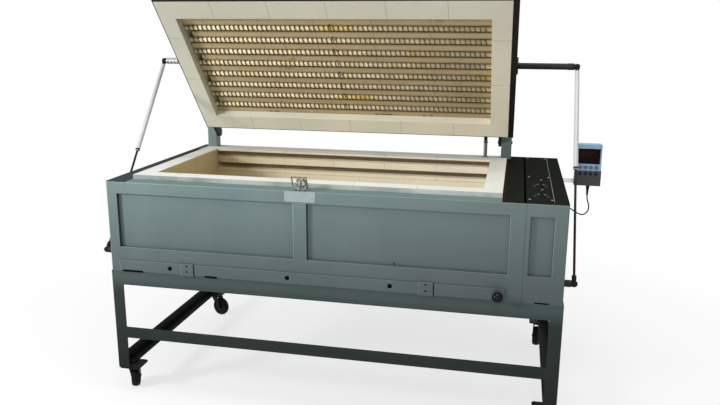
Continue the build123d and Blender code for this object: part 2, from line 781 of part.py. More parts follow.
def caster_fork(head_low, head_top):
    """Raceway head and two cheeks, trailing towards +X, with the axle across."""
    head = rod((0, 0, head_low), (0, 0, head_top), 28.0)
    head = chamfer(head.edges().group_by(Axis.Z)[-1], 2.0)
    crown_z = head_low + 4
    gap = wheel_w / 2 + 2
    boss = 11.0
    cheeks = []
    for side in (-1, 1):
        sides = Polyline((wheel_trail - boss, wheel_r), (-24, crown_z), (26, crown_z),
                         (wheel_trail + boss, wheel_r))
        foot = ThreePointArc(sides @ 1, (wheel_trail, wheel_r - boss), sides @ 0)
        cheek = extrude(make_face(Plane.XZ * (sides + foot)), 3.0, dir=(0, -1, 0))
        shift = gap + 3 if side > 0 else -gap
        cheeks.append(Pos(0, shift, 0) * cheek)
    crown = block((-24, 26), (-gap - 3, gap + 3), (crown_z - 4, crown_z))
    fork = head + cheeks[0] + cheeks[1] + crown
    fork -= rod((0, 0, head_low - 8), (0, 0, head_top + 1), kingpin_r + fit)
    reach = gap + 6
    return fork + rod((wheel_trail, -reach, wheel_r), (wheel_trail, reach, wheel_r), axle_r)


def caster_wheel():
    """Wheel with a crowned tread, a recessed web and a hub, standing on the floor."""
    half = wheel_w / 2
    hub = half + 1.6
    outline = Polyline((axle_r + fit, -hub), (15, -hub), (15, -half + 6), (34, -half + 6), (38, -half),
                       (wheel_r - 5, -half))
    tread = ThreePointArc((wheel_r - 5, -half), (wheel_r, 0), (wheel_r - 5, half))
    rest = Polyline((wheel_r - 5, half), (38, half), (34, half - 6), (15, half - 6), (15, hub),
                    (axle_r + fit, hub), (axle_r + fit, -hub))
    profile = make_face(Plane.XZ * (outline + tread + rest))
    wheel = revolve(profile, Axis.Z)
    return Pos(wheel_trail, 0, wheel_r) * Rot(90, 0, 0) * wheel


def post_centres():
    return (bx0 - post_inset, bx1 - post_inset + 11)


def hinge_posts():
    """Square tube posts on the back of the top, each with its hinge pin."""
    items = []
    half = post_w / 2
    for x, inward in zip(post_centres(), (1, -1)):
        zs = (deck, hinge_z + half + 1)
        post = block((x - half, x + half), (hinge_y - half, hinge_y + half), zs)
        inner = half - post_wall
        ys = (hinge_y - inner, hinge_y + inner)
        post -= block((x - inner, x + inner), ys, (deck - 1, zs[1] - post_wall))
        post = chamfer(post.edges().filter_by(Axis.Z), 1.0)
        bore = rod((x - half - 1, hinge_y, hinge_z), (x + half + 1, hinge_y, hinge_z), hinge_pin_r + fit)
        items.append(post - bore)
        outer = x - inward * (half + pin_end)
        inner = x + inward * (half + seat + lug_t + pin_end)
        pin = rod((outer, hinge_y, hinge_z), (inner, hinge_y, hinge_z), hinge_pin_r)
        items.append(pin)
    pieces["hinge_posts"] = items


def keeper(wall):
    """Hook on the lid's front that the bail pulls down when it locks."""
    y, z = bail_pin(lever_swing)
    half = latch_w / 2 - 6
    top = z + bail_len - bail_r - seat
    front = y - bail_r - seat - 3
    lip = block((latch_x() - half, latch_x() + half), (front, wall), (top - 3, top))
    lip += block((latch_x() - half, latch_x() + half), (front, front + 3), (top - 3, top + 6))
    pad = block((latch_x() - half, latch_x() + half), (wall - 3, wall), (top - 12, top + 22))
    return lip + pad


def conduit():
    """Wiring conduit rising from the back of the top to an open elbow on the hinge line."""
    x, y = conduit_x, hinge_y
    tube = rod((x, y, deck - conduit_drop), (x, y, hinge_z), conduit_r)
    elbow = Pos(x, y, hinge_z) * Sphere(conduit_r + 2)
    locknut = Plane(origin=(x, y, deck)) * extrude(RegularPolygon(conduit_r + 6, 6), 5.0)
    bore = rod((x, y, deck - conduit_drop - 1), (x, y, hinge_z), conduit_r - 2)
    mouth = rod((x, y, hinge_z), (x, y - conduit_r - 3, hinge_z), conduit_r - 2)
    pieces["lid_conduit"] = [tube + elbow + locknut - bore - mouth]


def open_lid(shape):
    """Turn a piece of the closed lid to its open rest place."""
    return shape.rotate(hinge_axis, -lid_open)


def lid_bounds():
    """Outside of the lid's steel in X and Y when it is shut."""
    return (bx0 - lid_edge, bx1 + lid_band), (by0 - lid_reach - lid_band, by1 + lid_edge)


def recess_bounds():
    """Inside of the lid's brick rim in X and Y."""
    front = by0 - lid_reach + lid_rim_front
    return (bx0 + lid_rim_left, bx1 - lid_rim_right), (front, by1 - lid_rim_back)


def lid_row_y():
    """Y of the lid element rows when the lid is shut."""
    front, back = recess_bounds()[1]
    first = front + row_front
    pitch = (back - row_back - first) / (element_rows - 1)
    return [first + pitch * k for k in range(element_rows)]


def lid_row_z():
    return lid_face + lid_recess + lid_groove_centre


def lid_casing():
    """Top sheet, four walls and the flanges that hold the brick at the front and right."""
    xs, ys = lid_bounds()
    top = lid_face + lid_h
    low = top - lid_skin
    sheet = block(xs, ys, (low, top))
    sheet = chamfer(sheet.edges().group_by(Axis.Z)[-1], 1.0)
    sheet -= [rod((tail_x(), y, low - 1), (tail_x(), y, top + 1), tail_r + 1) for y in lid_row_y()]
    front = block(xs, (ys[0], ys[0] + lid_skin), (lid_face, low))
    front += block(xs, (ys[0], by0 - lid_reach - seat), (lid_face, lid_face + lid_skin))
    back = block(xs, (ys[1] - lid_skin, ys[1]), (lid_face, low))
    between = (by0 - lid_reach - seat, ys[1] - lid_skin)
    behind = (ys[0] + lid_skin, by0 - lid_reach - seat)
    left = block((xs[0], xs[0] + lid_skin), between, (lid_face, low))
    right = block((xs[1] - lid_skin, xs[1]), between, (lid_face, low))
    right += block((bx1 + seat, xs[1]), between, (lid_face, lid_face + lid_skin))
    stubs = [block(side, behind, (lid_face + lid_skin, low))
             for side in ((xs[0], xs[0] + lid_skin), (xs[1] - lid_skin, xs[1]))]
    front += stubs
    pieces["lid_casing"] = [open_lid(part) for part in (sheet, front, back, left, right)]


def lid_rim():
    """Brick rim of the lid, its side bricks bored for the ends of the ceramic tubes."""
    zs = (lid_face, lid_face + lid_h - lid_skin)
    (x0, x1), (y0, y1) = recess_bounds()
    front_y = by0 - lid_reach
    front = block((bx0, bx1), (front_y, y0), zs)
    back = block((bx0, bx1), (y1, by1), zs)
    left = block((bx0, x0), (y0, y1), zs)
    right = block((x1, bx1), (y0, y1), zs)
    front -= rim_joints(bx0, bx1, (front_y, y0), lid_face, "x")
    back -= rim_joints(bx0, bx1, (y1, by1), lid_face, "x")
    left -= rim_joints(y0, y1, (bx0, x0), lid_face, "y")
    right -= rim_joints(y0, y1, (x1, bx1), lid_face, "y")
    z = lid_row_z()
    for y in lid_row_y():
        left -= rod((x0 - tube_seat, y, z), (x0 + 1, y, z), lid_tube_r + seat)
        right -= rod((x1 - 1, y, z), (x1 + tube_seat, y, z), lid_tube_r + seat)
    pieces["lid_rim_bricks"] = [open_lid(brick) for brick in (front, back, left, right)]


def lid_slab():
    """Slab of brick in the middle of the lid, grooved for the coils, with its joint lines."""
    (x0, x1), (y0, y1) = recess_bounds()
    face = lid_face + lid_recess
    top = lid_face + lid_h - lid_skin
    z = lid_row_z()
    rows = lid_row_y()
    slab = block((x0, x1), (y0, y1), (face, top))
    slab -= rim_joints(x0, x1, (y0, y1), face, "x")
    radius = lid_coil_r + lid_groove_clear
    slab -= [coil_groove((x0, y, z), (x1, y, z), (0, 0, -1), radius, lid_groove_centre) for y in rows]
    link_top = z + lid_coil_r - wire_r + link_r + 1
    half = link_r + 1
    for near, far in zip(rows[::2], rows[1::2]):
        slab -= block((x0, x0 + 2 * element_end), (near - half, far + half), (face - 1, link_top))
    slab -= [rod((tail_x(), y, face), (tail_x(), y, top + 1), tail_r + 1) for y in rows]
    pieces["lid_slab"] = [open_lid(slab)]


def tail_x():
    """X of the rising tails, at the right end of each lid row."""
    return recess_bounds()[0][1] - element_end


def helix_at(turn, pitch, radius):
    """Point of a helix along X after a number of turns, and its direction there."""
    angle = 2 * math.pi * turn
    point = Vector(pitch * turn, radius * math.sin(angle), radius * math.cos(angle))
    ahead = Vector(pitch / (2 * math.pi), radius * math.cos(angle), -radius * math.sin(angle))
    return point, ahead.normalized()


def biarc(start, leaving, end, arriving):
    """Two arcs in one smooth line from start to end, with the directions given for both ends."""
    chord = end - start
    a = 2 * (1 - leaving.dot(arriving))
    b = 2 * chord.dot(leaving + arriving)
    c = -chord.dot(chord)
    reach = -c / b if a < 1e-9 else (math.sqrt(b * b - 4 * a * c) - b) / (2 * a)
    first, second = start + leaving * reach, end - arriving * reach
    middle = (first + second) / 2
    return [TangentArc(start, middle, tangent=leaving), TangentArc(middle, end, tangent=second - first)]


def wound_row(x0, x1, y, z):
    """Heating coil along X as one unbroken tube, made of half turns."""
    pitch = (x1 - x0) / lid_curls
    radius = lid_coil_r - wire_r
    arcs = []
    for half in range(2 * lid_curls):
        start, leaving = helix_at(half / 2, pitch, radius)
        end, arriving = helix_at((half + 1) / 2, pitch, radius)
        arcs += biarc(start, leaving, end, arriving)
    path = Wire(arcs)
    tube = sweep(Plane(origin=path @ 0, z_dir=path % 0) * Circle(wire_r), path=path)
    return Pos(x0, y, z) * tube, path


def path_points(path):
    """Points a wire's radius apart along a path."""
    count = int(path.length / wire_r)
    return [path @ (k / count) for k in range(count + 1)]


def least_gap(path, skip):
    """Smallest gap between two places of one tube that are further apart than skip along it."""
    points = path_points(path)
    apart = math.ceil(skip * (len(points) - 1) / path.length)
    spans = [(b - a).length for k, a in enumerate(points) for b in points[k + apart:k + 4 * apart]]
    return min(spans) - 2 * wire_r


def lid_elements():
    """Four hairpin elements in the lid on their ceramic tubes, the tails rising through the slab."""
    x0, x1 = recess_bounds()[0]
    start = x0 + element_end
    z = lid_row_z()
    top = z + lid_coil_r - wire_r
    rows = lid_row_y()
    items = []
    for near, far in zip(rows[::2], rows[1::2]):
        hairpin = rod((start, near - link_r - 1, top), (start, far + link_r + 1, top), link_r)
        for y in (near, far):
            coil, path = wound_row(start, tail_x(), y, z)
            hairpin += coil
            hairpin += rod((tail_x(), y, top - wire_r / 2), (tail_x(), y, lid_face + lid_h + 12), tail_r)
        items.append(open_lid(hairpin))
    pieces["lid_elements"] = items
    gap = least_gap(path, path.length / lid_curls / 2)
    print(f"lid coil gap {gap:.2f}, length {path.length:.0f}")
    inside = min(math.hypot(point.Y, point.Z) for point in path_points(path))
    print("lid coil inside radius", round(inside - wire_r, 2))
    ends = (x0 - tube_seat + seat, x1 + tube_seat - seat)
    tubes = [rod((ends[0], y, z), (ends[1], y, z), lid_tube_r) for y in rows]
    pieces["lid_tubes"] = [open_lid(tube) for tube in tubes]


def lid_fittings():
    """Hinge lugs, strut arms, pull handle, latch keeper and wiring cover of the lid."""
    xs, ys = lid_bounds()
    items = []
    for x, inward in zip(post_centres(), (1, -1)):
        near = x + inward * (post_w / 2 + seat)
        items.append(open_lid(hinge_lug(sorted((near, near + inward * lug_t)), ys[1])))
    pin = (by1 - lid_pin_forward, lid_face + lid_pin_up)
    left_end = -strut_out + strut_r + seat
    right_end = body_w + strut_out - strut_r - seat
    for wall, end in ((xs[0], left_end), (xs[1], right_end)):
        flange = wall + math.copysign(arm_foot_t, end - wall)
        arm = rod((wall, *pin), (end, *pin), arm_r)
        foot = block(sorted((wall, flange)), about(pin[0], arm_foot_w), about(pin[1], arm_foot_h))
        items.append(open_lid(arm + foot))
    pieces["lid_brackets"] = items
    pull_handle(ys[0])
    pieces["latch_keeper"] = [open_lid(keeper(ys[0]))]
    wire_cover(*ys)


def about(middle, length):
    """Both ends of a length centred on a place."""
    return middle - length / 2, middle + length / 2


def pull_handle(wall):
    """Bar along the front of the lid on two posts with square pads."""
    z = lid_face + handle_up
    y = wall - handle_out
    start, end = about(mid_x, handle_len)
    items = [rod((start, y, z), (end, y, z), handle_r)]
    for x in about(mid_x, handle_feet):
        post = rod((x, y + handle_r - handle_weld, z), (x, wall, z), handle_post_r)
        pad = block(about(x, handle_pad), (wall - handle_pad_t, wall), about(z, handle_pad))
        items.append(post + pad)
    pieces["lid_handle"] = [open_lid(item) for item in items]


def wire_cover(front, back):
    """Channel over the wiring on the lid's top, with the box, nut and spout at its rear end."""
    top = lid_face + lid_h
    xs = about(conduit_x, duct_w)
    rear = back + duct_box
    cover = block(xs, (front + duct_front, rear), (top, top + duct_h))
    cover = chamfer(cover.edges().filter_by(Axis.Y).group_by(Axis.Z)[-1], duct_edge)
    inside = about(conduit_x, duct_w - 2 * duct_wall)
    along = (front + duct_front + duct_wall, rear - duct_wall)
    cover -= block(inside, along, (top - 1, top + duct_h - duct_roof))
    box = block(xs, (back, rear), (hinge_z - duct_drop, top))
    nut = rod((conduit_x, rear, hinge_z), (conduit_x, rear + duct_nut, hinge_z), conduit_r + 5)
    spout = rod((conduit_x, rear, hinge_z), (conduit_x, hinge_y - spout_short, hinge_z), conduit_r)
    pieces["lid_wire_cover"] = [open_lid(cover + box + nut + spout)]


def hinge_lug(xs, wall):
    """Plate from the back of the lid to the hinge pin."""
    outline = Polyline((wall, hinge_z - 34), (hinge_y, hinge_z - lug_r), (hinge_y, hinge_z + lug_r),
                       (wall, hinge_z + 40), close=True)
    web = make_face(Plane.YZ * outline) + Plane.YZ * Pos(hinge_y, hinge_z) * Circle(lug_r)
    web -= Plane.YZ * Pos(hinge_y, hinge_z) * Circle(hinge_pin_r + fit)
    return Pos(xs[0], 0, 0) * extrude(web, xs[1] - xs[0], dir=(1, 0, 0))


def latch_x():
    return mid_x - 9


def bail_tube_r():
    return bail_r + 1.7


def lever_pin():
    """Y and Z of the lever's pin, clear of the plate behind it when the lever is down."""
    past = math.radians(throw_angle + lever_swing - 180)
    return latch_y - throw * math.sin(past) - bail_tube_r() - 0.4, deck + lever_up


def bail_pin(swing):
    """Y and Z of the bail's pin with the lever swung forward by an angle."""
    y, z = lever_pin()
    turn = math.radians(throw_angle + swing)
    return y - throw * math.sin(turn), z + throw * math.cos(turn)


def latch():
    """Draw latch standing on the front of the top: base, lever and wire bail."""
    x = latch_x()
    half = latch_w / 2
    plate = block((x - half, x + half), (latch_y, latch_y + 3), (deck, deck + latch_h))
    plate = fillet(plate.edges().filter_by(Axis.Y).group_by(Axis.Z)[-1], 8.0)
    base = plate + block((x - half, x + half), (latch_y, latch_y + 26), (deck, deck + 3))
    pin_y, pin_z = lever_pin()
    for side in (-1, 1):
        inner = x + side * (lever_w / 2 + seat)
        ear = block(sorted((inner, inner + side * 3)), (pin_y - 5, latch_y), (pin_z - 6, pin_z + 6))
        base += ear
    base += rod((x - lever_w / 2 - 4, pin_y, pin_z), (x + lever_w / 2 + 4, pin_y, pin_z), 2.5)
    pieces["latch_base"] = [base]
    pieces["latch_lever"] = [latch_lever(x)]
    pieces["latch_bail"] = [latch_bail(x)]


def latch_lever(x):
    """Lever plate on its knuckle, with a tube in front for the bail."""
    pin_y, pin_z = lever_pin()
    bail_y, bail_z = bail_pin(0)
    xs = (x - lever_w / 2, x + lever_w / 2)
    knuckle = rod((xs[0], pin_y, pin_z), (xs[1], pin_y, pin_z), knuckle_r)
    tube = rod((xs[0], bail_y, bail_z), (xs[1], bail_y, bail_z), bail_tube_r())
    plate = block(xs, (pin_y - 2, pin_y + 1), (pin_z, pin_z + lever_len))
    plate = fillet(plate.edges().filter_by(Axis.Y).group_by(Axis.Z)[-1], 8.0)
    web_centre = Plane(origin=(x, (pin_y + bail_y) / 2, (pin_z + bail_z) / 2), x_dir=(1, 0, 0),
                       z_dir=(0, pin_y - bail_y, pin_z - bail_z))
    web = web_centre * Box(lever_w, 5.0, throw)
    lever = knuckle + tube + plate + web
    lever -= rod((xs[0] - 1, pin_y, pin_z), (xs[1] + 1, pin_y, pin_z), 2.5 + fit)
    return lever - rod((xs[0] - 1, bail_y, bail_z), (xs[1] + 1, bail_y, bail_z), bail_r + fit)


def latch_bail(x):
    """Closed wire loop hanging in the lever's tube."""
    y, z = bail_pin(0)
    reach = bail_w / 2 - bail_r
    corners = [(x - reach, z), (x - reach, z + bail_len), (x + reach, z + bail_len), (x + reach, z)]
    outline = [(cx, y, cz) for cx, cz in corners]
    loop = rod(outline[3], outline[0], bail_r)
    for start, end in zip(outline, outline[1:]):
        loop += rod(start, end, bail_r)
    for corner in outline:
        loop += Pos(*corner) * Sphere(bail_r)
    return loop.rotate(Axis((x, y, z), (1, 0, 0)), bail_lean)


def strut_ends():
    """Lower pivot and the open and shut places of the upper pivot, as Y and Z."""
    low = (low_pin_back, deck - low_pin_drop)
    shut = (by1 - lid_pin_forward, lid_face + lid_pin_up)
    dy, dz = shut[0] - hinge_y, shut[1] - hinge_z
    turn = math.radians(-lid_open)
    opened = (hinge_y + dy * math.cos(turn) - dz * math.sin(turn),
              hinge_z + dy * math.sin(turn) + dz * math.cos(turn))
    return low, opened, shut


def struts():
    """Two gas struts: rod pivoted low on the body, cylinder reaching the lid arm."""
    low, opened, shut = strut_ends()
    run = Vector(0, opened[0] - low[0], opened[1] - low[1])
    along = run.normalized()
    studs = []
    for side, x, wall in (("left", -strut_out, 0.0), ("right", body_w + strut_out, body_w)):
        out = -1 if side == "left" else 1
        foot = Vector(x, *low)
        top = Vector(x, *opened)
        boss = rod((wall, *low), (x - out * (strut_r + seat), *low), arm_r)
        pin = rod((wall, *low), (x + out * (strut_r - 1), *low), strut_pin_r)
        head = rod((x + out * (strut_r + seat), *low), (x + out * (strut_r + 3), *low), 8.0)
        neck = rod((x + out * (strut_r - 2), *low), (x + out * (strut_r + 1), *low), strut_pin_r)
        studs.append(boss + pin + neck + head)
        eye = rod((x - strut_r, *low), (x + strut_r, *low), eye_r)
        eye = fillet(eye.edges().filter_by(GeomType.CIRCLE), 3.0)
        reach = run.length - strut_tube_len + 60
        rod_piece = rod(tuple(foot + along * 6), tuple(foot + along * reach), strut_rod_r)
        socket = rod(tuple(foot + along * 8), tuple(foot + along * 34), 8.0)
        rod_piece = eye + socket + rod_piece
        rod_piece -= rod((x - 30, *low), (x + 30, *low), strut_pin_r + fit)
        pieces[f"strut_rod_{side}"] = [rod_piece]
        tube_foot = top - along * strut_tube_len
        tube = rod(tuple(tube_foot), tuple(top - along * 24), strut_r)
        tube = fillet(tube.edges().filter_by(GeomType.CIRCLE), 2.0)
        socket = rod(tuple(top - along * 34), tuple(top - along * 4), 8.0)
        cap = rod((x - strut_r, *opened), (x + strut_r, *opened), eye_r)
        cap = fillet(cap.edges().filter_by(GeomType.CIRCLE), 3.0)
        tube -= rod(tuple(tube_foot - along), tuple(top - along * 30), strut_rod_r + fit)
        pieces[f"strut_cylinder_{side}"] = [tube + socket + cap]
    pieces["strut_brackets"] = studs
    stroke = run.length - math.dist(low, shut)
    swing = math.degrees(math.atan2(shut[1] - low[1], shut[0] - low[0]) - math.atan2(run.Z, run.Y))
    print(f"strut open {run.length:.1f}, stroke {stroke:.2f}, swing {swing:.3f} degrees")


def controller():
    """Hand-size controller in its cradle on the right side, with its eight keys and lead."""
    x0 = body_w + pad_out
    z0 = deck - pad_drop
    ys = (pad_front, pad_front + pad_d)
    case = block((x0, x0 + pad_w), ys, (z0, z0 + pad_h))
    case = fillet(case.edges().filter_by(Axis.Y), 6.0)
    case = chamfer(case.edges().group_by(Axis.Y)[0], 1.5)
    window = block((x0 + 6, x0 + pad_w - 6), (pad_front - 1, pad_front + 1.5), (z0 + 94, z0 + 161))
    case -= window
    case -= rod(plug_place(0), plug_place(22), plug_r + 0.2)
    k = 1
    for up in button_rows_up:
        for col in range(4):
            x = x0 + pad_w / 2 + (col - 1.5) * button_pitch
            z = z0 + up
            case -= rod((x, pad_front - 1, z), (x, pad_front + 6, z), button_r + 0.4)
            cap = rod((x, pad_front - button_proud, z), (x, pad_front + 4, z), button_r)
            cap = fillet(cap.edges().group_by(Axis.Y)[0], 1.2)
            stem = rod((x, pad_front + 3, z), (x, pad_front + 6 - button_travel - 0.2, z), 3.0)
            pieces[f"button_{k}"] = [cap + stem]
            k += 1
    pieces["controller_case"] = [case]

    gap = 0.4
    t = cradle_t
    out = ((x0 - gap - t, x0 + pad_w + gap + t), (ys[0] - gap - t, ys[1] + gap + t))
    shell = block(*out, (z0 - t, z0 + 64))
    shell -= block((x0 - gap, x0 + pad_w + gap), (ys[0] - gap, ys[1] + gap), (z0, z0 + 65))
    shell -= block((x0 + 10, out[0][1] + 1), (out[1][0] - 1, ys[0]), (z0 + cradle_front_h, z0 + 65))
    shell -= rod(plug_place(-t - 1), plug_place(1), plug_r + 2.2)
    arm_ys = (ys[1] + gap, ys[1] + gap + t)
    arm_zs = (z0, deck - plate_t - 1)
    arm = block((body_w, out[0][0]), arm_ys, arm_zs)
    arm += block((body_w, body_w + t), (arm_ys[0], arm_ys[0] + 40), arm_zs)
    pieces["controller_cradle"] = [shell, arm]


def plug_place(up):
    """Centre line of the lead's plug, by height above the foot of the controller."""
    return (body_w + pad_out + plug_in, pad_front + pad_d / 2, deck - pad_drop + up)


def lead():
    """Plug under the controller and the loose loop of lead into the control compartment."""
    start = plug_place(-38)
    relief = loft([Plane(origin=plug_place(-8), z_dir=(0, 0, 1)) * Circle(plug_r + 1.2).face(),
                   Plane(origin=start, z_dir=(0, 0, 1)) * Circle(cord_d / 2 + 1).face()])
    plug = rod(plug_place(20), plug_place(-8), plug_r) + relief
    pieces["controller_plug"] = [plug]
    x, y, z = start
    entry = (body_w + 4, y + 20, z - 72)
    route = [(x, y, z), (x, y, z - 26), (x + 12, y + 1, z - 55), (x + 11, y + 3, z - 83),
             (x - 8, y + 6, z - 104), (x - 34, y + 10, z - 99), (entry[0] + 30, entry[1], entry[2]), entry]
    radii = corner_radii(route)
    path = FilletPolyline(*route, radius=radii)
    print("lead radii", [round(r, 1) for r in radii], "length", round(path.length, 1))
    section = Plane(origin=path @ 0, z_dir=path % 0) * Circle(cord_d / 2)
    tube = sweep(section, path=path)
    print("lead volume ratio", round(tube.volume / (math.pi * (cord_d / 2) ** 2 * path.length), 4))
    pieces["controller_cord"] = [tube]
    bush = rod((body_w, *entry[1:]), (body_w + 4, *entry[1:]), 9.0)
    pieces["entry_glands"].append(bush)


def corner_radii(route):
    """Largest arc for each corner of a route, 0.45 of the shorter run over the half-turn's tangent."""
    radii = []
    for a, b, c in zip(route, route[1:], route[2:]):
        first = Vector(*b) - Vector(*a)
        second = Vector(*c) - Vector(*b)
        turn = math.radians(first.get_angle(second))
        radii.append(0.45 * min(first.length, second.length) / math.tan(turn / 2))
    return radii


def centre_and_write():
    """Move the kiln over its own centre in X and Y and write each sub-part."""
    whole = Compound(children=[Compound(children=list(solids)) for solids in pieces.values()])
    box = whole.bounding_box()
    shift = Pos(-(box.min.X + box.max.X) / 2, -(box.min.Y + box.max.Y) / 2, -box.min.Z)
    print("shift", shift.position.X, shift.position.Y, shift.position.Z)
    print("size", box.size)
    for name, solids in pieces.items():
        moved = [shift * solid for shape in solids for solid in shape.solids()]
        export_step(Compound(children=moved), f"parts/{name}.step")


def main():
    os.makedirs("parts", exist_ok=True)
    casing()
    top_plates()
    brickwork()
    insulation()
    wall_elements()
    control_compartment()
    switch_gear()
    selectors()
    vent_slide()
    stand()
    casters()
    hinge_posts()
    conduit()
    lid_casing()
    lid_rim()
    lid_slab()
    lid_elements()
    lid_fittings()
    latch()
    struts()
    controller()
    lead()
    centre_and_write()


main()
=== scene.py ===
import math

import bmesh
import bpy
from mathutils import Matrix, Vector

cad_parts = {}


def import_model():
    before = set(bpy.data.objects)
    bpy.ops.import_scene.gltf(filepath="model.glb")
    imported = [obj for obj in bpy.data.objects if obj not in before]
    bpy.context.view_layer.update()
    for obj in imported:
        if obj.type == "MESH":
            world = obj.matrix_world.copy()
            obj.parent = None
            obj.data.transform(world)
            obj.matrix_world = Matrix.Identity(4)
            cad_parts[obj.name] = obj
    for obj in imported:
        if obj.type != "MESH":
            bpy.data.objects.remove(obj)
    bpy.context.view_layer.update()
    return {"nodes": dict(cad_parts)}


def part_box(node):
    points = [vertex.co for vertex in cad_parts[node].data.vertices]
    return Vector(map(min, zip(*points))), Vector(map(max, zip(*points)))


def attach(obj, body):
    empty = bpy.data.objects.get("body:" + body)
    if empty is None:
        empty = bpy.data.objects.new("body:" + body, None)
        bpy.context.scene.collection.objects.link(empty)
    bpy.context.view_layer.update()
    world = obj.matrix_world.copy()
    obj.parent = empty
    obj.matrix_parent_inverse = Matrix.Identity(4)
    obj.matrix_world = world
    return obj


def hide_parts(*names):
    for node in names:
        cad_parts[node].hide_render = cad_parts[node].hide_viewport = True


# Looks of a large glass fusing kiln: brick-lined steel body, wound lid held open by gas struts.
# Places are millimetres in the part's own layout: X from the left steel face, Y from the front
# steel face, Z from the floor. at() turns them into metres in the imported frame. Wire radii, bevels,
# lathe profiles and the sizes in materials are metres.

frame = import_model()
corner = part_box("casing_frames")[0]

# Camera, found from the straight edges of the body, stand and lid
CAMERA = (1705.0, -2732.0, 1628.0)
CAMERA_YAW = 0.213           # radians, to the left
CAMERA_PITCH = 0.235         # radians, down
CAMERA_ROLL = 0.005
LENS = 36.15
SENSOR = 36.0

# Body
BODY_W = 1918.0
KILN_W = 1760.0              # without the control compartment
DECK = 993.0                 # top of the steel
COVER_TOP = DECK + 3
RIM = 1012.0                 # top of the brick
BRICK_X = (93.0, 1667.0)
BRICK_Y = (63.0, 871.0)
BRICK_T = 76.0
SHADED_JAMB_REACH = 35.0            # jambs with painted shade lie within this of the front
STAND_SHADED_BEHIND = 56.0            # painted shade makes the stand darker behind this
SEAM_SHADE_X = (1750.0, 1758.0)    # painted shade of the seam beside the screwed cover
COVER_HIGHLIGHT_X = (1861.5, 1865.0)     # painted highlight on the right edge of the cover
RUST_W = 10.0                # rusty strip beside the brick
RUST_Y = (40.0, 880.0)
DUSTY_X = (40.0, 1640.0)     # pale stretch of the rear plate
COVER_SCREWS_X = (1771.0, 1855.0)
COVER_SCREWS_Y = (48.0, 498.0, 985.0)
PLATE_LOW = (799.0, -1.2, 946.0)
PLATE_HIGH = (929.0, 0.2, 991.0)
RIVET_IN = 5.0

# Slide along the foot of the front
SLIDE_HOLES_X = (278.0, 806.0, 1240.0)
STRAPS_X = (357.0, 1385.0)   # middles
STRAP_FACE = -9.0
STRAP_SCREWS_Z = (612.0, 638.0)
FRONT_PLUG = (1255.0, 0.0, 713.0)
# Dark slits of painted shadow stand for the shade in the gaps below
STRAP_GAP = (30.4, 33.4)     # from a strap's middle, just past its right edge
FOOT_GAPS = ((53.0, 150.0), (437.0, 493.0))
CORNER_GAP = ((1809.0, -0.6, 592.5), (1866.0, 0.2, 597.0))   # at the foot, far right
GAP_T = 0.0002               # metres, either side of the slide's face

# Selectors
DIAL_X = 1817.0
DIALS = (("front", 112.0), ("rear", 302.0))
DIAL_TOP = COVER_TOP + 1.5
TICK_RADIUS = 27.5
TICK_SIZE = (0.0012, 0.0045, 0.0003)   # metres

# Lid, its places given as if it were shut
HINGE = (980.0, 1074.0)      # Y and Z of the hinge line
LID_OPEN = math.radians(49.7)
LID_FACE = 1013.0
SLAB_FACE = LID_FACE + 42.0
SLAB_X = (169.0, 1583.0)     # inside of the lid's brick rim
SLAB_REAR = 784.0
FIRST_ROW = 234.4
ROW_PITCH = 71.6
ROWS = 8
LID_ROWS = [FIRST_ROW + ROW_PITCH * k for k in range(ROWS)]
ROW_DEPTH = 4.0              # coil centre behind the slab's face, so that whole coils show
COIL_IN = 14.0               # from the brick to a coil's end
LID_TURNS = 62
LID_COIL = 13.2              # radius
TUBE_OUT = 13.0              # of a ceramic tube beyond its coil
TAIL_TOP = LID_FACE + 132
PIN_X = 872.0
WIRE_ENDS_X = (459, 486, 499, 1017, 1048, 1071, 1088, 1255, 1292)
ARM_Y = 477.0
ARM_Z = LID_FACE + 81
THREAD_X = -24.0             # outer end of the left arm's thread
CAP_X = BODY_W + 26.5        # outer end of the right arm's cap

# Coils of the long walls
WALL_ROWS = (23.0, 83.0)     # below the rim
WALL_DEPTH = 9.0
WALL_TURNS = 190
WALL_COIL = 7.0              # radius
TAIL_DROP = 7.0              # of a wall row's tail below the row
TAIL_END = KILN_W + 18
LINK_DEPTH = 14.0            # of a wall row's link behind the coils
GROOVE_SHADE_Z = (-4.0, 9.0)       # brown painted shade in a wall groove, from its row

# Struts
STRUT_OUT = 38.0             # beyond the body's sides
STRUT_LOW = (33.0, 674.0)    # Y and Z of the lower ball
STRUT_HIGH = (669.9, 1470.6)
SEAL_BACK = 0.518            # metres from the upper ball

# Controller
PAD_X, PAD_Y, PAD_Z = 1968.0, 508.0, 969.0   # lower left front corner
PAD_SPLIT = 65.0             # top of the dark lower face
WINDOW_X = (6.4, 99.6)
WINDOW_Z = (94.4, 160.6)
LEAD_X, LEAD_Y = PAD_X + 58.5, PAD_Y + 19
RELIEF_TOP = PAD_Z - 22
LEAD_TOP = PAD_Z - 38
CRADLE_STRAP = PAD_X - 2.5   # right end of the cradle's bright strap
DIGITS = (0, 7, 2, 5)
DIGIT_AT = (22.0, 126.0)
DIGIT_PITCH = 17.0
# Bars that each digit lights, and each bar's left, foot, right and top
LIT_BARS ={0: "abcdef", 2: "abged", 5: "afgcd", 7: "abc"}
BARS = {"a": (0, 20, 9, 22), "g": (0, 10, 9, 12), "d": (0, 0, 9, 2), "f": (-1, 11, 1, 21),
        "b": (8, 11, 10, 21), "e": (-1, 1, 1, 11), "c": (8, 1, 10, 11)}

CASTERS = ("front_left", "front_right", "rear_left", "rear_right")

# Radii of wires and tubes, in metres
LID_WIRE_R, LID_TUBE_R, LID_LINK_R, LID_TAIL_R = 0.0027, 0.0112, 0.0024, 0.0035
PIN_R, WIRE_END_R = 0.0021, 0.0018
WALL_WIRE_R, WALL_TAIL_R, WALL_LINK_R = 0.0015, 0.003, 0.0022
LEAD_R = 0.00275

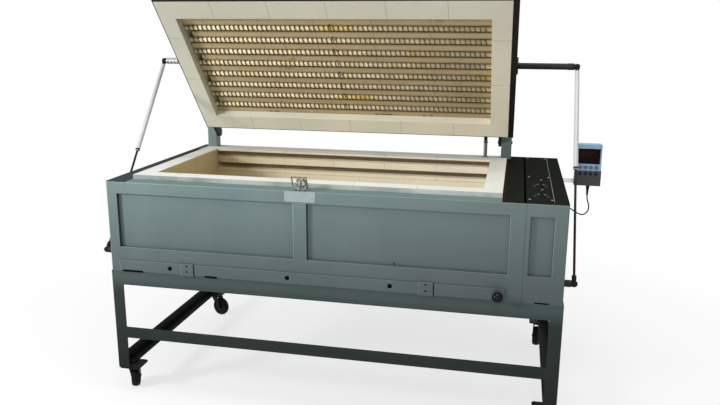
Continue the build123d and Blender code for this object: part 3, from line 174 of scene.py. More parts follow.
# Lathe profiles: radius and height
COVER_SCREW = [(0.0, 0.0022), (0.0008, 0.0022), (0.0009, 0.0029), (0.0026, 0.0027), (0.0042, 0.0014),
               (0.0045, 0.0)]
FRONT_SCREW = [(0.0, 0.0018), (0.0024, 0.0018), (0.0038, 0.001), (0.004, 0.0)]
# Dark disc of painted shadow at the back of each slide hole
HOLE_SHADOW_DISC = [(0.0, 0.0), (0.0098, 0.0)]
RIVET = [(0.0, 0.0011), (0.0012, 0.0009), (0.0019, 0.0)]
BALL = [(0.0, -0.0126), (0.006, -0.0118), (0.0108, -0.009), (0.0135, -0.003), (0.0135, 0.003),
        (0.0108, 0.009), (0.006, 0.0118), (0.0, 0.0126)]
NECK = [(0.0, 0.004), (0.0085, 0.006), (0.0092, 0.02), (0.0092, 0.032), (0.0078, 0.034), (0.0, 0.034)]
SEAL = [(0.0, 0.0), (0.0085, 0.0), (0.0104, 0.002), (0.0107, 0.009), (0.0102, 0.010)]
ARM_CAP = [(0.0, 0.0), (0.0125, 0.0005), (0.0150, 0.003), (0.0150, 0.030), (0.0141, 0.031)]

# Stage, in metres and watts. Lamps: name, place, target, size and power
FLOOR_SIZE = 60
FLOOR_FADE = (0.9, 2.6)      # from the middle of the floor
LAMPS = (("key", (-3.3, -2.7, 2.1), (0.0, 0.0, 1.1), 0.7, 120.0),
         ("fill", (0.2, -4.4, 0.4), (0.2, 0.0, 1.5), 2.0, 28.0),
         ("top", (0.6, -1.2, 4.4), (0.0, 0.0, 0.8), 2.6, 84.0))


def at(x, y, z):
    """Millimetres of the layout as metres in the frame."""
    return Vector((corner[0] + x / 1000, corner[1] + y / 1000, z / 1000))


def lid_at(x, y, z):
    """The same for a place given on the shut lid, turned to the open lid."""
    dy, dz = y - HINGE[0], z - HINGE[1]
    c, s = math.cos(LID_OPEN), math.sin(LID_OPEN)
    return at(x, HINGE[0] + dy * c + dz * s, HINGE[1] - dy * s + dz * c)


def x_at(x):
    return at(x, 0, 0).x


def y_at(y):
    return at(0, y, 0).y


# Colours

WHITE = (1.0, 1.0, 1.0)


def grey(value):
    return (value, value, value)


def darker(colour, by):
    return tuple(c * by for c in colour)


# Node helpers

def new_material(name):
    material = bpy.data.materials.new(name)
    material.use_nodes = True
    return material, material.node_tree, material.node_tree.nodes["Principled BSDF"]


def node(tree, kind, **inputs):
    made = tree.nodes.new(kind)
    for key, value in inputs.items():
        made.inputs[key.replace("_", " ")].default_value = value
    return made


def feed(tree, value, socket):
    """Set a socket to a number or a colour, or link it to an output."""
    if isinstance(value, (int, float)):
        socket.default_value = value
    elif isinstance(value, tuple):
        socket.default_value = (*value, 1.0)
    else:
        tree.links.new(value, socket)


def surface(tree, shader, colour, roughness, metallic=0.0, shine=0.5):
    feed(tree, colour, shader.inputs["Base Color"])
    feed(tree, roughness, shader.inputs["Roughness"])
    feed(tree, metallic, shader.inputs["Metallic"])
    feed(tree, shine, shader.inputs["Specular IOR Level"])


def place(tree):
    """Object coordinates, which are metres of the frame."""
    return tree.nodes.new("ShaderNodeTexCoord").outputs["Object"]


def noise(tree, scale, detail=4.0, roughness=0.55, stretch=None):
    made = node(tree, "ShaderNodeTexNoise", Scale=scale, Detail=detail, Roughness=roughness)
    source = place(tree)
    if stretch:
        mapping = node(tree, "ShaderNodeMapping", Scale=stretch)
        tree.links.new(source, mapping.inputs["Vector"])
        source = mapping.outputs["Vector"]
    tree.links.new(source, made.inputs["Vector"])
    return made.outputs["Fac"]


def ramp(tree, factor, stops):
    made = tree.nodes.new("ShaderNodeValToRGB")
    points = made.color_ramp.elements
    while len(points) < len(stops):
        points.new(0.5)
    for point, (position, colour) in zip(points, stops):
        point.position = position
        point.color = (*colour, 1.0)
    tree.links.new(factor, made.inputs["Fac"])
    return made.outputs["Color"]


def mix(tree, factor, first, second, how="MIX"):
    made = tree.nodes.new("ShaderNodeMix")
    made.data_type = "RGBA"
    made.blend_type = how
    for value, name in ((factor, "Factor"), (first, "A"), (second, "B")):
        feed(tree, value, made.inputs[name])
    return made.outputs["Result"]


def tinted(tree, colour, by):
    """One colour multiplied by another."""
    return mix(tree, 1.0, colour, by, how="MULTIPLY")


def math_node(tree, how, *values):
    made = tree.nodes.new("ShaderNodeMath")
    made.operation = how
    made.use_clamp = how in ("MULTIPLY", "SUBTRACT")
    for value, socket in zip(values, made.inputs):
        feed(tree, value, socket)
    return made.outputs[0]


def times(tree, first, second):
    return math_node(tree, "MULTIPLY", first, second)


def map_range(tree, value, start, end, low=0.0, high=1.0):
    """A value that runs from low to high between start and end, and stays level outside."""
    made = node(tree, "ShaderNodeMapRange", From_Min=start, From_Max=end, To_Min=low, To_Max=high)
    tree.links.new(value, made.inputs["Value"])
    return made.outputs["Result"]


def bump(tree, shader, height, strength, distance):
    made = node(tree, "ShaderNodeBump", Strength=strength, Distance=distance)
    tree.links.new(height, made.inputs["Height"])
    tree.links.new(made.outputs["Normal"], shader.inputs["Normal"])


# Masks: 1 or white where something is, 0 or black elsewhere

def along(tree, letter, source=None):
    """One coordinate of the place, in metres of the frame, or of another vector."""
    split = tree.nodes.new("ShaderNodeSeparateXYZ")
    tree.links.new(source or place(tree), split.inputs[0])
    return split.outputs[letter]


def past(tree, value, edge, soft=0.0006):
    """0 below an edge and 1 above it."""
    return map_range(tree, value, edge - soft, edge + soft)


def before(tree, value, edge, soft=0.0006):
    """1 below an edge and 0 above it."""
    return math_node(tree, "SUBTRACT", 1.0, past(tree, value, edge, soft))


def band(tree, value, low, high, soft=0.0006):
    """1 between two edges and 0 outside."""
    return math_node(tree, "SUBTRACT", past(tree, value, low, soft), past(tree, value, high, soft))


def over(tree, shown, mask, colour, strength=1.0):
    """A colour laid over what is shown, where the mask is white."""
    factor = mask if strength == 1.0 else times(tree, mask, strength)
    return mix(tree, factor, shown, colour)


def lid_place(tree):
    """Place on the lid as if it were shut, in metres from the hinge line."""
    moved = node(tree, "ShaderNodeMapping", Location=-lid_at(0, *HINGE))
    tree.links.new(place(tree), moved.inputs["Vector"])
    turned = node(tree, "ShaderNodeMapping", Rotation=(LID_OPEN, 0, 0))
    tree.links.new(moved.outputs["Vector"], turned.inputs["Vector"])
    return turned.outputs["Vector"]


def face_normal(tree):
    return tree.nodes.new("ShaderNodeNewGeometry").outputs["Normal"]


def rounded(tree, radius, samples):
    """Dot product node of the normal that a rounded edge would have. Its second vector is still free."""
    soft = node(tree, "ShaderNodeBevel", Radius=radius)
    soft.samples = samples
    made = tree.nodes.new("ShaderNodeVectorMath")
    made.operation = "DOT_PRODUCT"
    tree.links.new(soft.outputs["Normal"], made.inputs[0])
    return made


def edge_wear(tree, radius):
    """White where the surface turns over an edge."""
    turned = rounded(tree, radius, 4)
    tree.links.new(face_normal(tree), turned.inputs[1])
    return map_range(tree, turned.outputs["Value"], 1.0, 0.75)


def edge_light(tree, radius):
    """Painted light on edges of the front: above 0.5, a painted highlight, on edges that turn up or to the
    left, below it, painted shade, on those that turn down or to the right."""
    turned = rounded(tree, radius, 6)
    turned.inputs[1].default_value = (-0.9, 0.0, 0.45)
    beside_front = past(tree, along(tree, "Y", face_normal(tree)), -0.9, 0.05)
    return mix(tree, beside_front, map_range(tree, turned.outputs["Value"], -0.6, 0.6), grey(0.5))


def occlusion(tree, distance):
    """Painted shade: dark in corners."""
    made = node(tree, "ShaderNodeAmbientOcclusion", Distance=distance)
    made.samples = 6
    return made.outputs["AO"]


def cracks(tree, scale, width):
    """White along a sparse net of fine cracks."""
    wander = node(tree, "ShaderNodeTexNoise", Scale=18.0, Detail=3.0)
    tree.links.new(place(tree), wander.inputs["Vector"])
    bent = tree.nodes.new("ShaderNodeVectorMath")
    bent.operation = "MULTIPLY_ADD"
    bent.inputs[1].default_value = grey(0.05)
    tree.links.new(wander.outputs["Color"], bent.inputs[0])
    tree.links.new(place(tree), bent.inputs[2])
    cells = node(tree, "ShaderNodeTexVoronoi", Scale=scale)
    cells.feature = "DISTANCE_TO_EDGE"
    tree.links.new(bent.outputs[0], cells.inputs["Vector"])
    line = ramp(tree, cells.outputs["Distance"], [(0.0, WHITE), (width, grey(0.0))])
    broken = ramp(tree, noise(tree, 6.0, detail=2.0), [(0.58, grey(0.0)), (0.66, grey(0.8))])
    return tinted(tree, line, broken)


# Paints

def worn_paint(tree, colour, dust, dusty, wear):
    """Sprayed enamel with faint dust, thin streaks and rubbed edges."""
    clouds = noise(tree, 2.2, detail=5.0)
    streaks = noise(tree, 5.0, detail=3.0, stretch=(1.0, 1.0, 0.25))
    specks = noise(tree, 130.0, detail=5.0, roughness=0.7)
    base = ramp(tree, clouds, [(0.25, darker(colour, 0.88)), (0.75, darker(colour, 1.1))])
    dusted = mix(tree, map_range(tree, streaks, 0.0, 1.0, -dusty, dusty), base, dust)
    spotted = mix(tree, ramp(tree, specks, [(0.66, grey(0.0)), (0.74, grey(0.3))]), dusted, dust)
    if not wear:
        return spotted, clouds
    chips = mix(tree, edge_wear(tree, 0.002), spotted, darker(dust, 1.1))
    return mix(tree, wear, spotted, chips), clouds


def finish_paint(tree, shader, shown, clouds, gloss, shine=0.5):
    """Paint's colour, its gloss with cloudy patches, and its fine skin."""
    surface(tree, shader, shown, map_range(tree, clouds, 0.0, 1.0, gloss - 0.08, gloss + 0.14), shine=shine)
    bump(tree, shader, noise(tree, 900.0, detail=2.0), 0.12, 0.0004)


def paint(name, colour, dust, dusty, wear=0.25, gloss=0.42, shine=0.4):
    material, tree, shader = new_material(name)
    shown, clouds = worn_paint(tree, colour, dust, dusty, wear)
    finish_paint(tree, shader, shown, clouds, gloss, shine)
    return material


def stand_paint():
    """Dark enamel of the stand, with painted shade that makes it blacker towards the floor and on the rails
    behind the front.
    """
    material, tree, shader = new_material("stand_paint")
    shown, clouds = worn_paint(tree, (0.068, 0.096, 0.089), (0.11, 0.145, 0.135), 0.2, 0.2)
    # Painted shade: darker towards the floor, and much darker on the rails behind the front.
    shade_to_floor = ramp(tree, along(tree, "Z"), [(0.13, (0.12, 0.11, 0.10)), (0.36, (0.28, 0.27, 0.25)),
                                         (0.50, (0.32, 0.31, 0.30)), (0.56, grey(0.82))])
    shade_behind = mix(tree, past(tree, along(tree, "Y"), y_at(STAND_SHADED_BEHIND), 0.004), WHITE, grey(0.12))
    finish_paint(tree, shader, tinted(tree, tinted(tree, shown, shade_to_floor), shade_behind), clouds, 0.55, shine=0.15)
    return material


def body_paint(name, colour, wear=0.3):
    """Grey-green body enamel with painted shade: darker to the foot and to the right, and dark in its
    corners.
    Where wear is set, its frames also get painted highlights and shade on their edges, and painted shade on
    their jambs that face right."""
    material, tree, shader = new_material(name)
    shown, clouds = worn_paint(tree, colour, (0.24, 0.30, 0.28), 0.25, wear)
    x, y, z = (along(tree, letter) for letter in "XYZ")
    # Painted shade: darker towards the foot and to the right, as the light falls off.
    tone = tinted(tree, shown, map_range(tree, z, 0.58, 1.0, 0.54, 1.34))
    shade_to_right = ramp(tree, past(tree, x, -0.1, 1.1),
                  [(0.0, grey(1.03)), (0.5, (0.93, 0.92, 0.92)), (1.0, (0.74, 0.73, 0.72))])
    tone = tinted(tree, tone, shade_to_right)
    # Painted highlights and shade on the frames' edges, and painted shade on the jambs that face right. The
    # wear setting switches them on.
    if wear:
        lit = ramp(tree, edge_light(tree, 0.006),
                   [(0.15, (0.40, 0.42, 0.41)), (0.45, WHITE), (0.55, WHITE), (0.8, grey(2.2))])
        tone = tinted(tree, tone, lit)
        jamb_shade = past(tree, along(tree, "X", face_normal(tree)), 0.8, 0.05)
        inside = times(tree, before(tree, y, y_at(SHADED_JAMB_REACH)), before(tree, x, x_at(BODY_W - 3)))
        tone = over(tree, tone, times(tree, jamb_shade, inside), (0.004, 0.006, 0.006), 0.85)
    # Painted shade in corners.
    corner_shade = ramp(tree, occlusion(tree, 0.008), [(0.35, (0.60, 0.62, 0.60)), (0.8, WHITE)])
    finish_paint(tree, shader, tinted(tree, tone, corner_shade), clouds, 0.42)
    return material


def top_paint():
    """Near-black plates round the brick, the near-black a painted reflection of the dark this paint shows at
    grazing angles, greener in front and at the left, pale with brick dust behind, with rust beside the brick,
    painted shade in the seam beside the screwed cover and a painted highlight on the cover's right edge."""
    material, tree, shader = new_material("top_paint")
    # Painted reflection: the near-black stands in for the dark that this paint reflects at a grazing angle.
    shown, clouds = worn_paint(tree, (0.0175, 0.0190, 0.0155), (0.034, 0.038, 0.033), 0.25, 0.2)
    x, y, z = (along(tree, letter) for letter in "XYZ")
    left, right = x_at(BRICK_X[0] - 1), x_at(BRICK_X[1] + 1)
    front = times(tree, before(tree, y, y_at(BRICK_Y[0] - 1)), band(tree, x, left, right, 0.002))
    shown = over(tree, shown, front, (0.16, 0.225, 0.215))
    shown = over(tree, shown, before(tree, x, left), (0.058, 0.080, 0.075), 0.8)
    dusty = times(tree, past(tree, y, y_at(BRICK_Y[1] + 2), 0.003),
                  band(tree, x, x_at(DUSTY_X[0]), x_at(DUSTY_X[1]), 0.02))
    shown = over(tree, shown, dusty, (0.74, 0.73, 0.66), 0.97)
    # Painted shade in the seam beside the screwed cover.
    shown = over(tree, shown, band(tree, x, x_at(SEAM_SHADE_X[0]), x_at(SEAM_SHADE_X[1])), grey(0.001))
    rust = times(tree, band(tree, x, x_at(BRICK_X[1]), x_at(BRICK_X[1] + RUST_W), 0.003),
                 band(tree, y, y_at(RUST_Y[0]), y_at(RUST_Y[1])))
    shown = over(tree, shown, rust, (0.06, 0.022, 0.012), 0.7)
    # Painted highlight along the cover's right edge.
    lip_highlight = times(tree, band(tree, x, x_at(COVER_HIGHLIGHT_X[0]), x_at(COVER_HIGHLIGHT_X[1]), 0.0004),
                past(tree, z, (DECK + 0.5) / 1000))
    shown = over(tree, shown, lip_highlight, (0.34, 0.36, 0.34), 0.8)
    finish_paint(tree, shader, shown, clouds, 0.65, shine=0.0)
    return material


# Brick and ceramics

def brick_look(tree, shader, colour, shade, pores):
    """Colour of soft insulating brick: chalky, pitted and a little different from brick to brick, with
    painted shade in its joints and inside corners.
    The shader gets its dull, grainy face."""
    broad = noise(tree, 3.5, detail=3.0)
    grain = noise(tree, 420.0, detail=6.0, roughness=0.7)
    cells = node(tree, "ShaderNodeTexVoronoi", Scale=260.0)
    tree.links.new(place(tree), cells.inputs["Vector"])
    base = ramp(tree, broad, [(0.3, shade), (0.7, colour)])
    pits = ramp(tree, cells.outputs["Distance"], [(0.05, darker(shade, 0.62)), (0.22, WHITE)])
    pitted = mix(tree, pores, base, pits, how="MULTIPLY")
    chalky = mix(tree, map_range(tree, grain, 0.0, 1.0, -0.1, 0.2), pitted, darker(colour, 1.1))
    # Painted shade in joints and inside corners.
    joint_shade = ramp(tree, occlusion(tree, 0.005), [(0.45, (0.35, 0.33, 0.29)), (0.8, WHITE)])
    shown = tinted(tree, chalky, joint_shade)
    surface(tree, shader, shown, 0.92, shine=0.15)
    bump(tree, shader, grain, 0.5, 0.0012)
    return shown


def wall_brick():
    """Wall brick: off-white on the rim with a patchy grey front of dirt and painted shade, fired to a deep
    tan inside, with painted shade and light that make the long walls darker at the left and paler to the
    right, and brown painted shade in the element grooves."""
    material, tree, shader = new_material("wall_brick")
    x, y, z = (along(tree, letter) for letter in "XYZ")
    rim = brick_look(tree, shader, (0.80, 0.80, 0.74), (0.70, 0.71, 0.66), 0.3)
    rim = tinted(tree, rim, ramp(tree, x, [(0.0, WHITE), (1.0, (1.0, 0.97, 0.93))]))
    long_wall = band(tree, x, x_at(BRICK_X[0] + BRICK_T + 0.5), x_at(BRICK_X[1] - BRICK_T - 0.5))
    # Fired tan, and on the long walls painted shade to the left and painted light to the right.
    fired_and_shaded = ramp(tree, past(tree, x, -0.25, 0.65),
                 [(0.0, (0.72, 0.58, 0.36)), (0.4, (1.0, 0.88, 0.66)), (1.0, (1.24, 1.16, 1.02))])
    fired_and_shaded = tinted(tree, rim, mix(tree, long_wall, (0.80, 0.66, 0.39), fired_and_shaded))
    # Patchy grey front face of the rim, part dirt and part painted shade, darker at the left.
    patchy = noise(tree, 3.6, detail=5.0, stretch=(1.0, 0.1, 1.0))
    blotches = mix(tree, past(tree, x, -0.2, 0.7),
                ramp(tree, patchy, [(0.42, (0.13, 0.17, 0.16)), (0.58, (0.36, 0.41, 0.38))]),
                ramp(tree, patchy, [(0.42, (0.36, 0.42, 0.38)), (0.58, (0.58, 0.61, 0.55))]))
    rim = over(tree, rim, before(tree, y, y_at(BRICK_Y[0] + 1.5)), blotches, 0.9)
    inside = mix(tree, past(tree, z, (RIM - 1.5) / 1000, 0.0015), fired_and_shaded, rim)
    xs = band(tree, x, x_at(BRICK_X[0] + 3), x_at(BRICK_X[1] - 3))
    ys = band(tree, y, y_at(BRICK_Y[0] + 3), y_at(BRICK_Y[1] - 3))
    shown = mix(tree, times(tree, xs, ys), rim, inside)
    for drop in WALL_ROWS:
        # Brown painted shade in the upper part of each element groove.
        groove_shade = band(tree, z, (RIM - drop + GROOVE_SHADE_Z[0]) / 1000, (RIM - drop + GROOVE_SHADE_Z[1]) / 1000, 0.003)
        groove_shade = times(tree, groove_shade, times(tree, long_wall, ys))
        shown = over(tree, shown, groove_shade, (0.13, 0.085, 0.042), 0.6)
    feed(tree, shown, shader.inputs["Base Color"])
    return material


def lid_brick():
    """Rim brick of the lid, with painted light that makes it a little lighter and pinker at the right and
    paler towards the hinge.
    """
    material, tree, shader = new_material("lid_brick")
    shown = brick_look(tree, shader, (0.70, 0.68, 0.56), (0.63, 0.62, 0.50), 0.2)
    # Painted light: lighter and pinker at the right, greener in shade at the left.
    light_to_right = mix(tree, map_range(tree, along(tree, "X"), -0.9, 0.7), (0.90, 0.93, 0.91), (1.24, 1.19, 1.18))
    # Painted light: paler towards the hinge.
    light_near_hinge = past(tree, along(tree, "Y", lid_place(tree)), -0.35, 0.45)
    pale = mix(tree, light_near_hinge, grey(0.84), (1.34, 1.34, 1.36))
    feed(tree, tinted(tree, tinted(tree, shown, light_to_right), pale), shader.inputs["Base Color"])
    return material


def slab_brick():
    """Middle of the lid: tan ridges with fine cracks and brown painted shade in the grooves behind the coils.
    """
    material, tree, shader = new_material("slab_brick")
    shown = brick_look(tree, shader, (0.51, 0.41, 0.238), (0.43, 0.34, 0.188), 0.3)
    shown = over(tree, shown, cracks(tree, 7.0, 0.014), (0.16, 0.11, 0.06))
    from_row = math_node(tree, "ADD", along(tree, "Y", lid_place(tree)), (HINGE[0] - FIRST_ROW) / 1000)
    off_row = math_node(tree, "PINGPONG", from_row, ROW_PITCH / 2000)
    in_rows = band(tree, from_row, -0.03, (ROWS - 1) * ROW_PITCH / 1000 + 0.03)
    # Brown painted shade in and beside each groove.
    groove_shade = times(tree, before(tree, off_row, 0.0235, 0.0055), in_rows)
    feed(tree, over(tree, shown, groove_shade, (0.165, 0.118, 0.058), 0.75), shader.inputs["Base Color"])
    return material


def floor_brick():
    material, tree, shader = new_material("floor_brick")
    brick_look(tree, shader, (0.66, 0.60, 0.46), (0.55, 0.48, 0.34), 0.4)
    return material


def fibre_blanket():
    """Ceramic fibre seen in section."""
    material, tree, shader = new_material("fibre_blanket")
    strands = noise(tree, 160.0, detail=6.0, stretch=(0.3, 0.3, 2.5))
    surface(tree, shader, ramp(tree, strands, [(0.3, (0.62, 0.60, 0.56)), (0.7, (0.84, 0.83, 0.79))]), 0.95)
    bump(tree, shader, strands, 0.6, 0.002)
    return material


def pale_ceramic():
    """Fired ceramic tube, cream with patches stained yellow and pink by the wire."""
    material, tree, shader = new_material("pale_ceramic")
    blotches = noise(tree, 3.2, stretch=(1.0, 3.0, 3.0))
    patch = noise(tree, 30.0, detail=3.0)
    cream = ramp(tree, patch, [(0.3, (0.62, 0.53, 0.31)), (0.65, (0.90, 0.80, 0.53))])
    tint = ramp(tree, blotches, [(0.28, (0.96, 0.78, 0.62)), (0.38, WHITE), (0.58, WHITE),
                              (0.7, (1.0, 0.84, 0.38))])
    surface(tree, shader, tinted(tree, cream, tint), 0.6, shine=0.25)
    bump(tree, shader, noise(tree, 500.0), 0.15, 0.0003)
    return material


# Metals and plastics

def fired_wire(name, dull, pale):
    """Heating wire after many firings: dull brown oxide with paler scale."""
    material, tree, shader = new_material(name)
    scale = noise(tree, 240.0)
    surface(tree, shader, ramp(tree, scale, [(0.3, dull), (0.72, pale)]), 0.65, 0.25)
    bump(tree, shader, scale, 0.3, 0.0004)
    return material


def metal(name, colour, rough, brushed=0.0):
    """Bare or plated steel with fine handling marks."""
    material, tree, shader = new_material(name)
    marks = noise(tree, 60.0, detail=5.0, stretch=(1.0, 1.0, 1.0 + 12.0 * brushed))
    surface(tree, shader, ramp(tree, marks, [(0.3, darker(colour, 0.8)), (0.7, darker(colour, 1.08))]),
            map_range(tree, marks, 0.0, 1.0, rough - 0.06, rough + 0.12), 1.0)
    bump(tree, shader, marks, 0.08, 0.0003)
    return material


def old_nickel():
    """Nickel of the latch with dull and bright patches."""
    material, tree, shader = new_material("nickel_plate")
    patches = noise(tree, 95.0, roughness=0.6)
    shown = ramp(tree, patches, [(0.42, (0.055, 0.060, 0.060)), (0.50, (0.19, 0.20, 0.195)),
                                 (0.60, (0.42, 0.43, 0.42))])
    surface(tree, shader, shown, map_range(tree, patches, 0.0, 1.0, 0.45, 0.25), 1.0)
    bump(tree, shader, patches, 0.2, 0.0004)
    return material


def plastic(name, colour, rough, grain=700.0, shine=0.5):
    """Moulded plastic with a fine grain."""
    material, tree, shader = new_material(name)
    tone = noise(tree, 30.0, detail=2.0)
    surface(tree, shader, ramp(tree, tone, [(0.3, darker(colour, 0.9)), (0.7, darker(colour, 1.1))]),
            map_range(tree, tone, 0.0, 1.0, rough - 0.04, rough + 0.06), shine=shine)
    bump(tree, shader, noise(tree, grain), 0.15, 0.0003)
    return material


def case_plastic():
    """Controller case: light blue-grey above, dark lower face."""
    material, tree, shader = new_material("case_plastic")
    tone = noise(tree, 30.0, detail=2.0)
    pale = ramp(tree, tone, [(0.3, (0.18, 0.30, 0.42)), (0.7, (0.23, 0.36, 0.49))])
    dark = ramp(tree, tone, [(0.3, (0.016, 0.023, 0.034)), (0.7, (0.024, 0.032, 0.046))])
    lower = times(tree, before(tree, along(tree, "Y"), y_at(PAD_Y + 3), 0.001),
                  before(tree, along(tree, "Z"), (PAD_Z + PAD_SPLIT) / 1000, 0.0008))
    surface(tree, shader, mix(tree, lower, pale, dark), map_range(tree, tone, 0.0, 1.0, 0.34, 0.46))
    bump(tree, shader, noise(tree, 800.0), 0.12, 0.0003)
    return material


def cradle_finish():
    """Black cradle on a bright strap."""
    material, tree, shader = new_material("cradle_finish")
    tone = noise(tree, 60.0)
    black = ramp(tree, tone, [(0.3, (0.010, 0.012, 0.015)), (0.7, (0.018, 0.020, 0.024))])
    bright = ramp(tree, tone, [(0.3, (0.84, 0.85, 0.85)), (0.7, (0.92, 0.93, 0.93))])
    strap = before(tree, along(tree, "X"), x_at(CRADLE_STRAP), 0.0002)
    surface(tree, shader, mix(tree, strap, black, bright), map_range(tree, tone, 0.0, 1.0, 0.4, 0.55), strap)
    bump(tree, shader, tone, 0.08, 0.0003)
    return material


def display_window():
    """Tinted window with a dim red glow of the display behind it."""
    material, tree, shader = new_material("display_window")
    glow = noise(tree, 45.0, detail=2.0)
    surface(tree, shader, ramp(tree, glow, [(0.4, (0.0015, 0.001, 0.0015)), (0.75, (0.014, 0.002, 0.003))]),
            0.3, shine=0.05)
    return material


BODY = body_paint("body_paint", (0.104, 0.152, 0.145))
PANEL = body_paint("panel_paint", (0.102, 0.150, 0.146), wear=0.0)
TOP = top_paint()
STAND = stand_paint()
EDGE = paint("lid_edge_paint", (0.014, 0.011, 0.009), (0.05, 0.04, 0.035), 0.25, wear=0.15, shine=0.15)
ARM = paint("arm_paint", (0.019, 0.019, 0.018), (0.05, 0.05, 0.045), 0.2, gloss=0.5, shine=0.15)
ROD = paint("rod_paint", grey(0.006), grey(0.03), 0.1, wear=0.1, gloss=0.4, shine=0.15)
WALL = wall_brick()
FLOOR = floor_brick()
LID_BRICK = lid_brick()
SLAB = slab_brick()
FIBRE = fibre_blanket()
WIRE = fired_wire("fired_wire", (0.105, 0.070, 0.036), (0.20, 0.142, 0.078))
WALL_WIRE = fired_wire("wall_wire", (0.12, 0.085, 0.045), (0.24, 0.18, 0.105))
TUBE = pale_ceramic()
NICKEL = old_nickel()
CONDUIT = metal("conduit_steel", (0.20, 0.21, 0.20), 0.5)
ZINC = metal("zinc_plate", (0.42, 0.43, 0.43), 0.42)
DARK_STEEL = metal("dark_steel", (0.016, 0.017, 0.017), 0.55)
SILVER = paint("silver_paint", (0.50, 0.53, 0.51), (0.66, 0.68, 0.66), 0.2, wear=0.1, gloss=0.3)
BLACK = plastic("black_plastic", (0.004, 0.004, 0.005), 0.1, shine=0.15)
MATTE = plastic("matte_black", (0.010, 0.010, 0.011), 0.6, shine=0.1)
KNOB = plastic("knob_plastic", grey(0.004), 0.4, shine=0.12)
CASE = case_plastic()
CRADLE = cradle_finish()
KEY = plastic("key_plastic", (0.045, 0.105, 0.19), 0.4)
DARK_KEY = plastic("dark_key_plastic", (0.004, 0.006, 0.009), 0.4, shine=0.2)
PALE = plastic("pale_plastic", (0.62, 0.61, 0.55), 0.4)
RUBBER = plastic("rubber", grey(0.006), 0.75, grain=300.0, shine=0.15)
# Painted shadow for gaps and holes
SHADOW = plastic("painted_gap_shadow", (0.003, 0.004, 0.004), 0.9, shine=0.0)
PLATE = metal("plate_alloy", (0.31, 0.365, 0.36), 0.5, brushed=0.6)
WINDOW = display_window()
SEGMENT = plastic("display_segment", (0.035, 0.004, 0.004), 0.5, shine=0.1)
MARK = plastic("white_mark", (0.30, 0.30, 0.29), 0.5, shine=0.2)
DIM_MARK = plastic("dim_mark", (0.05, 0.05, 0.048), 0.6, shine=0.1)
SCORCH = plastic("scorched_pin", (0.035, 0.024, 0.014), 0.7)


# Mesh helpers

def piece(name, build, body, material, smooth=True):
    """Object whose mesh build() fills, and which rides on a body."""
    work = bmesh.new()
    build(work)
    mesh = bpy.data.meshes.new(name)
    work.to_mesh(mesh)
    work.free()
    mesh.materials.append(material)
    if smooth:
        mesh.polygons.foreach_set("use_smooth", [True] * len(mesh.polygons))
    made = bpy.data.objects.new(name, mesh)
    bpy.context.collection.objects.link(made)
    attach(made, body)
    return made


def add_block(work, corners, bevel=0.0):
    """Box between two corners in metres, with rounded edges."""
    low, high = (Vector(c) for c in corners)
    made = bmesh.ops.create_cube(work, size=1.0)["verts"]
    size = high - low
    for v in made:
        v.co = Vector((v.co.x * size.x, v.co.y * size.y, v.co.z * size.z)) + (low + high) / 2
    if bevel:
        edges = list({e for v in made for e in v.link_edges})
        bmesh.ops.bevel(work, geom=edges, offset=bevel, segments=2, affect="EDGES", profile=0.7)


def add_ring(work, centre, side, other, radius, count):
    """Points of a circle in the plane of two directions."""
    return [work.verts.new(centre + side * (radius * math.cos(a)) + other * (radius * math.sin(a)))
            for a in (2 * math.pi * k / count for k in range(count))]


def add_lathe(work, profile, origin, axis, count):
    """Surface turned round an axis from (radius, height) pairs."""
    axis = Vector(axis).normalized()
    side = axis.orthogonal().normalized()
    other = axis.cross(side)
    rings = []
    for radius, height in profile:
        centre = Vector(origin) + axis * height
        if radius < 1e-7:
            rings.append([work.verts.new(centre)])
        else:
            rings.append(add_ring(work, centre, side, other, radius, count))
    for low, high in zip(rings, rings[1:]):
        for k in range(count):
            n = (k + 1) % count
            corners = [low[k % len(low)], low[n % len(low)], high[n % len(high)], high[k % len(high)]]
            unique = list(dict.fromkeys(corners))
            if len(unique) > 2:
                work.faces.new(unique)


def add_tube(work, points, radius, sides=8):
    """Closed tube of one radius through points given in metres, without twist."""
    ahead = [(b - a).normalized() for a, b in zip(points, points[1:])]
    ahead.append(ahead[-1])
    normal = ahead[0].orthogonal().normalized()
    rings = []
    for k, point in enumerate(points):
        tangent = (ahead[max(k - 1, 0)] + ahead[k]).normalized()
        normal = (normal - tangent * normal.dot(tangent)).normalized()
        rings.append(add_ring(work, point, normal, tangent.cross(normal), radius, sides))
    for low, high in zip(rings, rings[1:]):
        for i in range(sides):
            n = (i + 1) % sides
            work.faces.new((low[i], low[n], high[n], high[i]))
    work.faces.new(list(reversed(rings[0])))
    work.faces.new(rings[-1])


# Heating elements

def helix(ends, y, z, radius, turns, per_turn, transform):
    """Points of a coil along X between two ends in the layout, in metres."""
    count = turns * per_turn
    points = []
    for k in range(count + 1):
        share = k / count
        angle = -2 * math.pi * turns * share
        points.append(transform(ends[0] + (ends[1] - ends[0]) * share,
                                y + radius * math.sin(angle), z + radius * math.cos(angle)))
    return points


